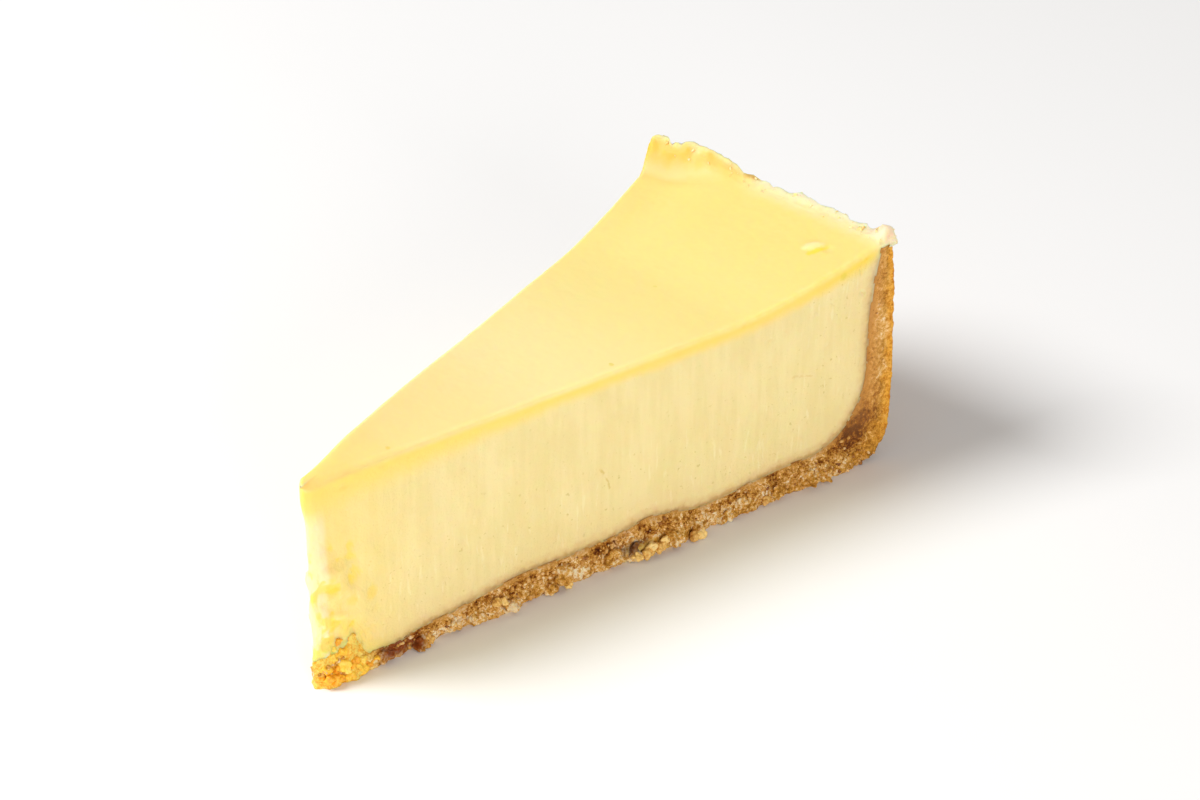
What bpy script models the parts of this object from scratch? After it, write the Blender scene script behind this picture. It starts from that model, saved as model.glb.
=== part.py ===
"""A slice of New York cheesecake, as cut from a whole round cake.

A crumb crust is pressed into a tin as a base with a wall, a cheese filling is baked in it, and one
portion is cut out. The tip of the slice points along -X, its rim along +X, and it stands on z = 0.
Inside the functions a place is a radius from the cake's centre, a side from -1 (the near cut) to 1
(the far cut), and a height.
"""

import math
import random

import bmesh
import bpy
from mathutils import Vector, noise

MM = 0.001

# The whole cake, and the share of it that one slice takes
RIM_RADIUS = 125.7 * MM
PORTIONS = 14
HALF_ANGLE = math.pi / PORTIONS

# The point of the slice, which is blunt
TIP_HALF_WIDTH = 1.2 * MM
TIP_FADE = 9 * MM
TIP_NARROW = 30 * MM
TIP_RECESS = 0.9 * MM
TIP_RECESS_REACH = 18 * MM
TIP_RECESS_FOOT = (8 * MM, 13 * MM)
TIP_RECESS_HEAD = (31 * MM, 37 * MM)
TIP_TOE = 1.3 * MM
TIP_TOE_HEIGHT = 3 * MM
FAR_BOWS = ((30, 34, 0.6), (85, 22, -0.2))

# The crumb crust: its base, the round corner that the tin gave it, and its wall
BASE_PROFILE = (
    (0, 5.9), (4, 6.6), (7, 8.2), (12, 3.9), (28, 4.7), (45, 6.2), (61, 6.3), (70, 7.6),
    (82, 5.4), (105, 6.6))
BASE_WAVE = 0.5 * MM
BASE_WAVE_LENGTH = 16 * MM
CORNER_RADIUS = 8.7 * MM
FILLET_RADIUS = 14 * MM
WALL_THICKNESS = 6.4 * MM
WALL_TOP = 43.4 * MM
WALL_NEAR_RISE = 0.7 * MM
WALL_TOP_WAVE = 0.45 * MM
OUTER_LEAN = -1.5 * MM
INNER_LEAN = 2.2 * MM

# The filling: its baked top, and the edge that rose over the wall
GAP = 0.3 * MM
TOP_NEAR = 39.3 * MM
TOP_FAR = 42.1 * MM
TOP_SLOPE_NEAR = 0.001
TOP_SLOPE_FAR = -0.019
TIP_LEVEL = 0.5
TIP_LEVEL_REACH = 16 * MM
TOP_DISH = 0.5 * MM
CLIMB_START = 88 * MM
CLIMB_POWER = 1.6
CLIMB_SHARE_FAR = 0.45
STEEP_START = 118 * MM
CREST_RADIUS = 124 * MM
CREST_NEAR = 45.7 * MM
CREST_FAR = 48.8 * MM
CREST_WAVE = 0.4 * MM
LIP_RISE_START = 120.8 * MM
LIP_RISE_LENGTH = 1.6 * MM
LIP_REACH = 124.8 * MM
LIP_RAGGED = 1.3 * MM
LIP_TAB_SIDE = -0.93
LIP_TAB_WIDTH = 0.1
LIP_TAB_RISE = 2.0 * MM
LIP_TAB_REACH = 1.4 * MM
EDGE_ROUND = 0.7 * MM

# The torn surfaces that the knife left
CRUMB_RELIEF = 0.7 * MM
CRUMB_SIZE = 3.2 * MM
CRAGS_NEAR = ((7, 9, 1.3), (40, 8, 0.7), (74, 11, 1.5))
CRAGS_FAR = ((5, 8, 0.6), (27, 8, 0.9), (57, 10, 1.1), (89, 9, 0.8))
TIP_HOLLOW_TOP = 29 * MM
TIP_HOLLOW_DEPTH = 1.5 * MM
TIP_HOLLOW_REACH = 13 * MM
CRUST_RAGGED_TIP = 1.0 * MM

# Crumbs that stand out of the crust along both cuts, and round the tip
CUT_CRUMBS = 32
TIP_CRUMBS = 7
CRUMB_RADII = (1.0 * MM, 1.9 * MM)
CRUMB_STRETCH = (0.75, 1.45)
CRUMB_DENT = 0.5
CRUMB_FLOOR = 0.15 * MM
SEED = 23

# Cells along the slice, across it and through its height
CRUST_CELLS = (62, 12, 4)
FILLING_CELLS = (66, 12, 8)

# Shares of the way from the tip to the wall's top that the base and the corner take
BASE_SHARE = 0.68
CORNER_SHARE = 0.80
LIP_SHARE = 0.955


def clear_scene():
    for item in list(bpy.data.objects):
        bpy.data.objects.remove(item)


def new_collection(name):
    collection = bpy.data.collections.new(name)
    bpy.context.scene.collection.children.link(collection)
    return collection


def smooth(value):
    """0 up to 0, 1 from 1, and an even curve between."""
    value = min(max(value, 0.0), 1.0)
    return value * value * (3 - 2 * value)


def blend(start, end, share):
    return start + (end - start) * share


def along_profile(profile, radius):
    """The height that a short list of (radius, height) in millimetres gives, eased between its points."""
    for (r0, h0), (r1, h1) in zip(profile, profile[1:]):
        if radius <= r1 * MM:
            return blend(h0, h1, smooth((radius - r0 * MM) / ((r1 - r0) * MM))) * MM
    return profile[-1][1] * MM


def wave(radius, side, length):
    """A gentle unevenness between -1 and 1 that is the same for the two faces that meet."""
    across = side * HALF_ANGLE * radius
    return noise.noise(Vector((radius / length, across / length, 0.37)))


def swell(bumps, radius):
    """The height of a row of soft bumps at that radius, from a list of (radius, length, rise) in mm."""
    rise = 0.0
    for centre, length, height in bumps:
        rise += height * MM * smooth(1 - abs(radius - centre * MM) / (length * MM))
    return rise


def share_between(ends, value):
    """0 up to the first end, 1 from the second, and an even curve between."""
    return smooth((value - ends[0]) / (ends[1] - ends[0]))


def tip_recess(height):
    """How far the tip falls back at that height, under the baked top and at its toe."""
    torn = share_between(TIP_RECESS_FOOT, height) * (1 - share_between(TIP_RECESS_HEAD, height))
    return TIP_RECESS * torn + TIP_TOE * smooth(1 - height / TIP_TOE_HEIGHT)


def place(radius, side, height):
    """Turns a radius, side and height into x, y and z, blunts the wedge's point and bows its far cut."""
    angle = side * HALF_ANGLE
    fade = math.exp(-radius / TIP_FADE)
    x = radius * math.cos(angle) + TIP_HALF_WIDTH * side * side * fade
    x += tip_recess(height) * math.exp(-radius / TIP_RECESS_REACH)
    y = radius * math.sin(angle) + TIP_HALF_WIDTH * side * fade
    y += max(side, 0) * swell(FAR_BOWS, radius)
    return Vector((x, y, height))


def cut_normal(side):
    """The outward direction of the cut face on that side."""
    sign = 1 if side > 0 else -1
    return Vector((-math.sin(HALF_ANGLE), sign * math.cos(HALF_ANGLE), 0))


def cut_share(radius, side):
    """How far a point follows the cut face's relief: only close to the cut, but all over the narrow tip."""
    return abs(side) ** blend(1, 10, smooth(radius / TIP_NARROW))


def base_underside(radius, side):
    return 0.0


def base_top(radius, side):
    """The crust's base is pressed by hand, so its top is uneven."""
    fade = smooth(radius / (20 * MM))
    return along_profile(BASE_PROFILE, radius) + BASE_WAVE * fade * wave(radius, side, BASE_WAVE_LENGTH)


def wall_crest(side):
    near = WALL_NEAR_RISE * smooth((-side - 0.75) / 0.2)
    return WALL_TOP + near + WALL_TOP_WAVE * wave(RIM_RADIUS, side, 6 * MM)


def crust_path(along, side, floor, wall, corner, lean):
    """A (radius, height) on one face of the crust, from the tip along the base and up the wall."""
    base_end = wall - corner
    if along <= BASE_SHARE:
        radius = base_end * along / BASE_SHARE
        return Vector((radius, floor(radius, side)))
    floor_end = floor(base_end, side)
    if along <= CORNER_SHARE:
        turn = (along - BASE_SHARE) / (CORNER_SHARE - BASE_SHARE) * math.pi / 2
        return Vector((base_end + corner * math.sin(turn), floor_end + corner * (1 - math.cos(turn))))
    climb = (along - CORNER_SHARE) / (1 - CORNER_SHARE)
    foot = floor_end + corner
    return Vector((wall + lean * climb ** 3, blend(foot, wall_crest(side), climb)))


def crust_outside(along, side):
    return crust_path(along, side, base_underside, RIM_RADIUS, CORNER_RADIUS, OUTER_LEAN)


def crust_inside(along, side):
    return crust_path(along, side, base_top, RIM_RADIUS - WALL_THICKNESS, FILLET_RADIUS, INNER_LEAN)


def crumb_relief(point):
    """Rounded crumbs a few millimetres across, with pits between them."""
    nearest = noise.voronoi(point / CRUMB_SIZE)[0][0]
    return CRUMB_RELIEF * (1 - 1.9 * nearest + 0.6 * noise.noise(point / (2 * CRUMB_SIZE)))


def crust_point(along, across, inward):
    """A point of the crust's block: along the bent path, across the slice, and from outside to inside."""
    side = -math.cos(math.pi * across)
    radius, height = crust_outside(along, side).lerp(crust_inside(along, side), inward)
    point = place(radius, side, height)
    crags = CRAGS_NEAR if side < 0 else CRAGS_FAR
    low = 1 - 0.6 * inward
    on_wall = smooth((along - BASE_SHARE) / (CORNER_SHARE - BASE_SHARE))
    on_cut = place(radius, math.copysign(1, side), height)
    rough = crumb_relief(on_cut) * (1 - 0.6 * on_wall)
    point += cut_normal(side) * cut_share(radius, side) * (rough + swell(crags, radius) * low)
    ragged = noise.noise(Vector((0.5, side, height / (3 * MM))))
    point.x -= CRUST_RAGGED_TIP * math.exp(-radius / (4 * MM)) * ragged
    return point


def rim_climb(radius, side):
    """0 on the level top and 1 at the rim: a slow rise, and at the far side a steep last bit."""
    slow = min(max((radius - CLIMB_START) / (CREST_RADIUS - CLIMB_START), 0.0), 1.0) ** CLIMB_POWER
    steep = smooth((radius - STEEP_START) / (CREST_RADIUS - STEEP_START))
    return blend(steep, slow, blend(1, CLIMB_SHARE_FAR, smooth((side - 0.2) / 0.6)))


def top_height(radius, side):
    """The baked top: nearly level, a little sunken, and climbing towards the wall."""
    across = (0.5 + 0.5 * side) * blend(TIP_LEVEL, 1, smooth(radius / TIP_LEVEL_REACH))
    level = blend(TOP_NEAR, TOP_FAR, across) + blend(TOP_SLOPE_NEAR, TOP_SLOPE_FAR, across) * radius
    level -= TOP_DISH * (1 - side * side) * smooth(radius / (60 * MM))
    crest = blend(CREST_NEAR, CREST_FAR, smooth((side - 0.1) / 0.5))
    return blend(level, crest, rim_climb(radius, side))


def lip_tab(side):
    """A tab of filling that stands on the wall at the near corner, 1 at its middle."""
    return smooth(1.4 - 1.4 * abs(side - LIP_TAB_SIDE) / LIP_TAB_WIDTH)


def filling_floor(along, side):
    """The underside of the filling: clear of the crust's inner face, then out over the wall's top."""
    inside = min(along / LIP_SHARE, 1.0)
    step = 0.001
    before = crust_inside(max(inside - step, 0.0), side)
    after = crust_inside(min(inside + step, 1.0), side)
    tangent = (after - before).normalized()
    foot = crust_inside(inside, side) + GAP * Vector((-tangent.y, tangent.x))
    over = smooth((along - LIP_SHARE + 0.012) / 0.012)
    foot.y = blend(foot.y, wall_crest(side) + GAP, over)
    if along > LIP_SHARE:
        foot.x = blend(foot.x, lip_reach(side), (along - LIP_SHARE) / (1 - LIP_SHARE))
    return foot


def lip_reach(side):
    """How far out the filling's torn edge lies on the wall's top."""
    ragged = noise.noise(Vector((side * 9, 1.7, 4.1))) + 0.3 * noise.noise(Vector((side * 23, 5.2, 0.4)))
    return LIP_REACH + LIP_RAGGED * ragged + LIP_TAB_REACH * lip_tab(side)


def filling_top(along, side):
    """The top edge of the same column, which leans out towards the rim."""
    wall_inside = RIM_RADIUS - WALL_THICKNESS
    base_end = wall_inside - FILLET_RADIUS
    share = along / LIP_SHARE
    if share <= BASE_SHARE:
        radius = base_end * share / BASE_SHARE
    elif along <= LIP_SHARE:
        radius = blend(base_end, wall_inside + INNER_LEAN, (share - BASE_SHARE) / (1 - BASE_SHARE))
    else:
        out = (along - LIP_SHARE) / (1 - LIP_SHARE)
        radius = blend(wall_inside + INNER_LEAN, lip_reach(side) - EDGE_ROUND, out)
    at_rim = smooth((radius - LIP_RISE_START) / LIP_RISE_LENGTH)
    uneven = CREST_WAVE * noise.noise(Vector((side * 17, 0.2, 8.8)))
    height = top_height(radius, side) + at_rim * (LIP_TAB_RISE * lip_tab(side) + uneven)
    return Vector((radius, height))


def tip_hollows(point, radius):
    """The tip is torn below the baked top, so its lower part has hollows and bumps."""
    reach = math.exp(-radius / TIP_HOLLOW_REACH * 2)
    lower = smooth((TIP_HOLLOW_TOP - point.z) / (8 * MM))
    return TIP_HOLLOW_DEPTH * reach * lower * noise.noise(point / (4.5 * MM))


def filling_point(along, across, upward):
    """A point of the filling's block: along the slice, across it, and from its underside to its top."""
    side = -math.cos(math.pi * across)
    radius, height = filling_floor(along, side).lerp(filling_top(along, side), upward)
    point = place(radius, side, height)
    on_cut = place(radius, math.copysign(1, side), height)
    point += cut_normal(side) * cut_share(radius, side) * tip_hollows(on_cut, radius)
    if upward > 0.99:
        point -= cut_normal(side) * EDGE_ROUND * abs(side) ** 40
        point.z -= EDGE_ROUND * 0.6 * abs(side) ** 40
    return point


def cut_block(counts):
    """A unit cube with that many cells along X, Y and Z."""
    grid = bmesh.new()
    bmesh.ops.create_cube(grid, size=1.0)
    bmesh.ops.translate(grid, vec=(0.5, 0.5, 0.5), verts=grid.verts)
    for axis, count in enumerate(counts):
        along = [edge for edge in grid.edges if abs(edge.verts[0].co[axis] - edge.verts[1].co[axis]) > 1e-6]
        bmesh.ops.subdivide_edges(grid, edges=along, cuts=count - 1, use_grid_fill=True)
    return grid


def shaped_block(name, counts, shape, material, collection):
    """Bends a block of cells into a piece by moving each of its points to where the shape puts it."""
    grid = cut_block(counts)
    for vertex in grid.verts:
        vertex.co = shape(*vertex.co)
    resting = [face for face in grid.faces if all(abs(v.co.z) < 1e-7 for v in face.verts)]
    bmesh.ops.dissolve_faces(grid, faces=resting)
    bmesh.ops.triangulate(grid, faces=grid.faces)
    bmesh.ops.recalc_face_normals(grid, faces=grid.faces)
    mesh = bpy.data.meshes.new(name)
    grid.to_mesh(mesh)
    grid.free()
    mesh.materials.append(material)
    mesh.shade_smooth()
    piece = bpy.data.objects.new(name, mesh)
    collection.objects.link(piece)
    return piece


def food_material(name, colour, roughness, depth):
    material = bpy.data.materials.new(name)
    material.use_nodes = True
    shader = material.node_tree.nodes["Principled BSDF"]
    shader.inputs["Base Color"].default_value = (*colour, 1)
    shader.inputs["Roughness"].default_value = roughness
    shader.inputs["Metallic"].default_value = 0
    shader.inputs["Subsurface Weight"].default_value = depth
    shader.inputs["Subsurface Scale"].default_value = 3 * MM
    return material


def crumb(number, centre, size, stretch, collection):
    """One uneven lump of crust, kept just above the surface that the slice stands on."""
    lump = bmesh.new()
    bmesh.ops.create_icosphere(lump, subdivisions=2, radius=size)
    for vertex in lump.verts:
        dent = noise.noise(vertex.co / (0.9 * size) + Vector((number * 3.1, 0, 0)))
        vertex.co = centre + vertex.co * stretch * (1 + CRUMB_DENT * dent)
        below = max(0.0, CRUMB_FLOOR - vertex.co.z)
        vertex.co.z += 1.1 * below
    mesh = bpy.data.meshes.new(f"crumb_{number}")
    lump.to_mesh(mesh)
    lump.free()
    collection.objects.link(bpy.data.objects.new(mesh.name, mesh))


def crumb_places():
    """Centre, size and stretch of each crumb: spread along both cuts, with a few round the tip."""
    draw = random.Random(SEED)
    for number in range(CUT_CRUMBS):
        side = -1 if number % 2 else 1
        size = draw.uniform(*CRUMB_RADII)
        stretch = Vector((draw.uniform(*CRUMB_STRETCH), draw.uniform(*CRUMB_STRETCH), 1))
        share = (number // 2 + draw.uniform(0.1, 0.9)) / (CUT_CRUMBS / 2)
        radius = blend(12, 114, share) * MM
        height = size * draw.uniform(0.6, 1.7)
        crags = CRAGS_NEAR if side < 0 else CRAGS_FAR
        centre = place(radius, side, height) + cut_normal(side) * (swell(crags, radius) - 0.1 * size)
        yield centre, size, stretch
    for number in range(TIP_CRUMBS):
        size = draw.uniform(*CRUMB_RADII)
        stretch = Vector((draw.uniform(*CRUMB_STRETCH), draw.uniform(*CRUMB_STRETCH), 1))
        side = draw.uniform(-1, 1)
        height = draw.uniform(0.8, 3.8) * MM
        yield place(draw.uniform(1, 6) * MM, side, height), size, stretch


def fuse(body, pieces):
    """Joins the loose crumbs to the crust as one closed solid, and removes them."""
    union = body.modifiers.new("fused crumbs", "BOOLEAN")
    union.operation = "UNION"
    union.solver = "EXACT"
    union.operand_type = "COLLECTION"
    union.collection = pieces
    evaluated = body.evaluated_get(bpy.context.evaluated_depsgraph_get())
    solid = bpy.data.meshes.new_from_object(evaluated)
    body.modifiers.remove(union)
    body.data = solid
    for piece in list(pieces.objects):
        bpy.data.objects.remove(piece)
    bpy.data.collections.remove(pieces)


def make_crust(collection):
    """The base and wall were pressed from one lot of crumbs, so they are one piece."""
    material = food_material("crumb crust", (0.42, 0.185, 0.052), 0.85, 0.0)
    crust = shaped_block("crumb_crust", CRUST_CELLS, crust_point, material, collection)
    loose = new_collection("crumbs to fuse")
    for number, (centre, size, stretch) in enumerate(crumb_places()):
        crumb(number, centre, size, stretch, loose)
    fuse(crust, loose)
    return crust


def make_filling(collection):
    """The filling is one baked body, whose yellow skin is the same batter."""
    material = food_material("cheese filling", (0.93, 0.79, 0.40), 0.45, 1.0)
    return shaped_block("cheese_filling", FILLING_CELLS, filling_point, material, collection)


def centre_on_origin(pieces):
    """Moves the pieces so that the origin lies under the middle of their common box."""
    corners = [vertex.co for piece in pieces for vertex in piece.data.vertices]
    shift_x = -(min(c.x for c in corners) + max(c.x for c in corners)) / 2
    shift_y = -(min(c.y for c in corners) + max(c.y for c in corners)) / 2
    for piece in pieces:
        for vertex in piece.data.vertices:
            vertex.co += Vector((shift_x, shift_y, 0))


def main():
    clear_scene()
    collection = new_collection("cheesecake_slice")
    crust = make_crust(collection)
    filling = make_filling(collection)
    centre_on_origin((crust, filling))


main()
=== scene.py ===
# %% [markdown]
# # A slice of baked cheesecake
#
# The slice is one portion of a round cake: a crust of pressed biscuit crumbs, and a filling that was
# baked in it until its top turned yellow. A knife then cut it twice. What makes it look real is what
# the knife and the oven did: drag marks, torn edges, a thin skin, and crumbs that broke away.
#
# The solids of the slice come in first, as a fixed frame. Everything below is made round them.

# %% Load the solids
import math
import random

import bmesh
import bpy
import numpy as np
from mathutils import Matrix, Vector, noise


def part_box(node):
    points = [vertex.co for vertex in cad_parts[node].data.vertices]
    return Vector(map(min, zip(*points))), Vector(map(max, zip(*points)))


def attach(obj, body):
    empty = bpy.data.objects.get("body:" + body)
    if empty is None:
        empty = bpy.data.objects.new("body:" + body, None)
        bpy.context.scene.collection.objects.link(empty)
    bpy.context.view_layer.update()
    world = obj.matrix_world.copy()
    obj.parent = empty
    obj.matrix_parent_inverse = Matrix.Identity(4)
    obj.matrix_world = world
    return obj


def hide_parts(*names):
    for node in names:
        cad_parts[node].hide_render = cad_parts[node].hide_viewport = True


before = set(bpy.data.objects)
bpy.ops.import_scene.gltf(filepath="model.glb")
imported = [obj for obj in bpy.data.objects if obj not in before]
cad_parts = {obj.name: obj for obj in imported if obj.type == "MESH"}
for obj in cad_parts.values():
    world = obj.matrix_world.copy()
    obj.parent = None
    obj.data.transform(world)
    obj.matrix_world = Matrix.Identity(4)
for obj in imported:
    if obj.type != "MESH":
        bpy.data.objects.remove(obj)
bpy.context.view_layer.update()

# %% [markdown]
# ## Measures of the cake
#
# A slice is easiest to describe the way a baker thinks of it: a distance from the cake's centre, a
# side from one cut to the other, and a height. The solids were built from these sizes too, but for a
# few at the tip and the foot that are finer here by up to a millimetre, so the fine surfaces land on
# the coarse ones with no fitting. The only thing read from the frame is where the cake's centre is:
# the wall's outer face is one cake radius away from it.

# %% Sizes, in metres
MM = 0.001
RIM_RADIUS = 125.7 * MM
PORTIONS = 14
HALF_ANGLE = math.pi / PORTIONS
CENTRE = Vector((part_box("crumb_crust")[1].x - RIM_RADIUS, 0, 0))
print("the cake's centre is at x =", round(CENTRE.x / MM, 2), "mm")

# %% [markdown]
# ## Two helpers for easing
#
# Dough and batter have no sharp changes, so heights and widths are eased from one value to the next.

# %% Easing
def smooth(value):
    """0 up to 0, 1 from 1, and an even curve between."""
    value = min(max(value, 0.0), 1.0)
    return value * value * (3 - 2 * value)


def blend(start, end, share):
    return start + (end - start) * share


print("a quarter of the way eases to", smooth(0.25))

# %% [markdown]
# ## From the cake's measures to a place
#
# The point of a real slice is never a knife edge: the soft filling rounds off to a couple of
# millimetres. `place` blunts the wedge there, and `cut_share` says how much a point follows the torn
# surface of its cut: only close to the cut where the slice is wide, but all over its narrow tip.

# %% Sizes of the blunt tip
TIP_HALF_WIDTH = 1.2 * MM
TIP_FADE = 9 * MM
TIP_NARROW = 30 * MM
TIP_RECESS = 0.9 * MM
TIP_RECESS_REACH = 18 * MM
TIP_RECESS_LOW = 0.7
TIP_RECESS_FOOT = (5 * MM, 9 * MM)
TIP_RECESS_HEAD = (31 * MM, 37 * MM)
TIP_NOTCH = 0.5 * MM
TIP_NOTCH_HEIGHT = 11 * MM
TIP_NOTCH_REACH = 5.5 * MM
TIP_TOE = 0.7 * MM
TIP_TOE_HEIGHT = 3 * MM
FAR_BOWS = ((30, 34, 0.6), (85, 22, -0.2))


# %% Places
def swell(bumps, radius):
    """The height of a row of soft bumps at that radius, from a list of (radius, length, rise) in mm."""
    rise = 0.0
    for centre, length, height in bumps:
        rise += height * MM * smooth(1 - abs(radius - centre * MM) / (length * MM))
    return rise


def share_between(ends, value):
    """0 up to the first end, 1 from the second, and an even curve between."""
    return smooth((value - ends[0]) / (ends[1] - ends[0]))


def tip_recess(height):
    """How far the tip falls back at that height, under the baked top and at its toe."""
    torn = blend(TIP_RECESS_LOW, 1, share_between(TIP_RECESS_FOOT, height))
    torn *= 1 - share_between(TIP_RECESS_HEAD, height)
    notch = TIP_NOTCH * smooth(1 - abs(height - TIP_NOTCH_HEIGHT) / TIP_NOTCH_REACH)
    return TIP_RECESS * torn + notch + TIP_TOE * smooth(1 - height / TIP_TOE_HEIGHT)


def place(radius, side, height):
    angle = side * HALF_ANGLE
    fade = math.exp(-radius / TIP_FADE)
    x = radius * math.cos(angle) + TIP_HALF_WIDTH * side * side * fade
    y = radius * math.sin(angle) + TIP_HALF_WIDTH * side * fade
    x += tip_recess(height) * math.exp(-radius / TIP_RECESS_REACH)
    y += max(side, 0) * swell(FAR_BOWS, radius)
    return Vector((x, y, height))


def cut_normal(side):
    sign = 1 if side > 0 else -1
    return Vector((-math.sin(HALF_ANGLE), sign * math.cos(HALF_ANGLE), 0))


def outward(side):
    return Vector((math.cos(side * HALF_ANGLE), math.sin(side * HALF_ANGLE), 0))


def cut_share(radius, side):
    return abs(side) ** blend(1, 10, smooth(radius / TIP_NARROW))


print("the foot of the tip is at", [round(v / MM, 1) for v in place(0, 0, 0)], "mm")

# %% [markdown]
# ## The path of the crust
#
# A crumb crust is pressed over the bottom of a tin and up its wall, so in section it is a bent strip.
# Both of its faces follow one path, flat, round the corner, and up. The outer face takes the tin's
# round corner. The inner face has a wider bend and the uneven top of something pressed by hand. Each
# row of BASE_PROFILE is a distance from the cake's centre and the crust's height there, in
# millimetres.

# %% Sizes of the crust
BASE_PROFILE = (
    (0, 5.9), (4, 6.6), (7, 8.2), (11, 3.3), (16, 3.1), (22, 4.5), (45, 6.2), (61, 6.3), (70, 7.6),
    (82, 5.4), (105, 6.6))
BASE_WAVE = 0.5 * MM
BASE_WAVE_LENGTH = 16 * MM
BASE_WAVE_START = 20 * MM
CORNER_RADIUS = 8.7 * MM
FILLET_RADIUS = 14 * MM
WALL_THICKNESS = 6.4 * MM
WALL_TOP = 43.4 * MM
WALL_NEAR_RISE = 0.7 * MM
WALL_TOP_WAVE = 0.45 * MM
WALL_TOP_WAVE_LENGTH = 6 * MM
OUTER_LEAN = -1.5 * MM
INNER_LEAN = 2.2 * MM
BASE_SHARE = 0.68
CORNER_SHARE = 0.80


# %% The crust's two faces
def along_profile(profile, radius):
    for (r0, h0), (r1, h1) in zip(profile, profile[1:]):
        if radius <= r1 * MM:
            return blend(h0, h1, smooth((radius - r0 * MM) / ((r1 - r0) * MM))) * MM
    return profile[-1][1] * MM


def wave(radius, side, length):
    across = side * HALF_ANGLE * radius
    return noise.noise(Vector((radius / length, across / length, 0.37)))


def base_underside(radius, side):
    return 0.0


def base_top(radius, side):
    fade = smooth(radius / BASE_WAVE_START)
    return along_profile(BASE_PROFILE, radius) + BASE_WAVE * fade * wave(radius, side, BASE_WAVE_LENGTH)


def wall_crest(side):
    near = WALL_NEAR_RISE * smooth((-side - 0.75) / 0.2)
    return WALL_TOP + near + WALL_TOP_WAVE * wave(RIM_RADIUS, side, WALL_TOP_WAVE_LENGTH)


def crust_path(along, side, floor, wall, corner, lean):
    base_end = wall - corner
    if along <= BASE_SHARE:
        radius = base_end * along / BASE_SHARE
        return Vector((radius, floor(radius, side)))
    floor_end = floor(base_end, side)
    if along <= CORNER_SHARE:
        turn = (along - BASE_SHARE) / (CORNER_SHARE - BASE_SHARE) * math.pi / 2
        return Vector((base_end + corner * math.sin(turn), floor_end + corner * (1 - math.cos(turn))))
    climb = (along - CORNER_SHARE) / (1 - CORNER_SHARE)
    foot = floor_end + corner
    return Vector((wall + lean * climb ** 3, blend(foot, wall_crest(side), climb)))


def crust_outside(along, side):
    return crust_path(along, side, base_underside, RIM_RADIUS, CORNER_RADIUS, OUTER_LEAN)


def crust_inside(along, side):
    return crust_path(along, side, base_top, RIM_RADIUS - WALL_THICKNESS, FILLET_RADIUS, INNER_LEAN)


print("the wall's top at the near cut:", round(wall_crest(-1) / MM, 1), "mm")

# %% [markdown]
# ## A block of cells
#
# Both big pieces start as a cube cut into many small cells, whose points are then moved to where the
# cake has them. A block keeps its surface closed whatever is done to its points, and its three
# counting directions become along, across and through the piece. Each point also keeps a few facts
# as attributes, such as its distance from the cut, which the relief and the finishes read later.

# %% Build and shape a block
def cut_block(counts):
    grid = bmesh.new()
    bmesh.ops.create_cube(grid, size=1.0)
    bmesh.ops.translate(grid, vec=(0.5, 0.5, 0.5), verts=grid.verts)
    for axis, count in enumerate(counts):
        along = [
            edge for edge in grid.edges
            if abs(edge.verts[0].co[axis] - edge.verts[1].co[axis]) > 1e-6]
        bmesh.ops.subdivide_edges(grid, edges=along, cuts=count - 1, use_grid_fill=True)
    return grid


def new_piece(name, grid):
    """Turns what was modelled into a smooth piece of the scene."""
    mesh = bpy.data.meshes.new(name)
    grid.to_mesh(mesh)
    grid.free()
    mesh.shade_smooth()
    piece = bpy.data.objects.new(name, mesh)
    bpy.context.scene.collection.objects.link(piece)
    return piece


def shaped_block(name, counts, shape, facts):
    """Moves each point to where shape puts it. shape also returns the point's facts and its push."""
    grid = cut_block(counts)
    layers = {fact: grid.verts.layers.float.new(fact) for fact in facts}
    push_layer = grid.verts.layers.float_vector.new("push")
    for vertex in grid.verts:
        point, values, push = shape(*vertex.co)
        vertex.co = point + CENTRE
        vertex[push_layer] = push
        for fact, value in zip(facts, values):
            vertex[layers[fact]] = value
    bmesh.ops.recalc_face_normals(grid, faces=grid.faces)
    return new_piece(name, grid)


def even_ends(share, crowding):
    """Spaces cells closer together at both ends, where edges and crags need them."""
    return share - crowding * math.sin(2 * math.pi * share) / (2 * math.pi)


# %% [markdown]
# ## The crust
#
# The knife tears a crumb crust more than it cuts it. Along both cuts the crust stands out in crags
# and falls back in pits, while the side that lay against the tin is pressed smooth. The block's
# points are pushed out of the cut by rounded crumbs of about three millimetres, which are the ones
# that the solid has too. A crag is a distance along the cut, a length and a rise in millimetres.
# Finer grains come in the next steps.

# %% Sizes of the torn cut
CRUMB_RELIEF = 0.7 * MM
CRUMB_SIZE = 3.2 * MM
CRAGS_NEAR = ((7, 9, 1.3), (40, 8, 0.7), (74, 11, 1.5))
CRAGS_FAR = ((5, 8, 0.6), (27, 8, 0.9), (57, 10, 1.1), (89, 9, 0.8))
CRUST_RAGGED_TIP = 1.0 * MM
CRUST_RAGGED_SIZE = 3 * MM
CRUST_RAGGED_REACH = 4 * MM
GOLDEN_TIP = 13 * MM
GOLDEN_TIP_FADE = 5 * MM
# Low on the near cut the gold is partly the crumbs' colour and partly painted light shining through them.
GOLDEN_PATCH = 70 * MM
GOLDEN_PATCH_LENGTH = 9 * MM
GOLDEN_PATCH_TOP = 3.6 * MM
GOLDEN_PATCH_FADE = 2 * MM
CRUMBLY_START = 11 * MM
CRUMBLY_FADE = 5 * MM


def crumb_relief(point):
    nearest = noise.voronoi(point / CRUMB_SIZE)[0][0]
    return CRUMB_RELIEF * (1 - 1.9 * nearest + 0.6 * noise.noise(point / (2 * CRUMB_SIZE)))


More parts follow.
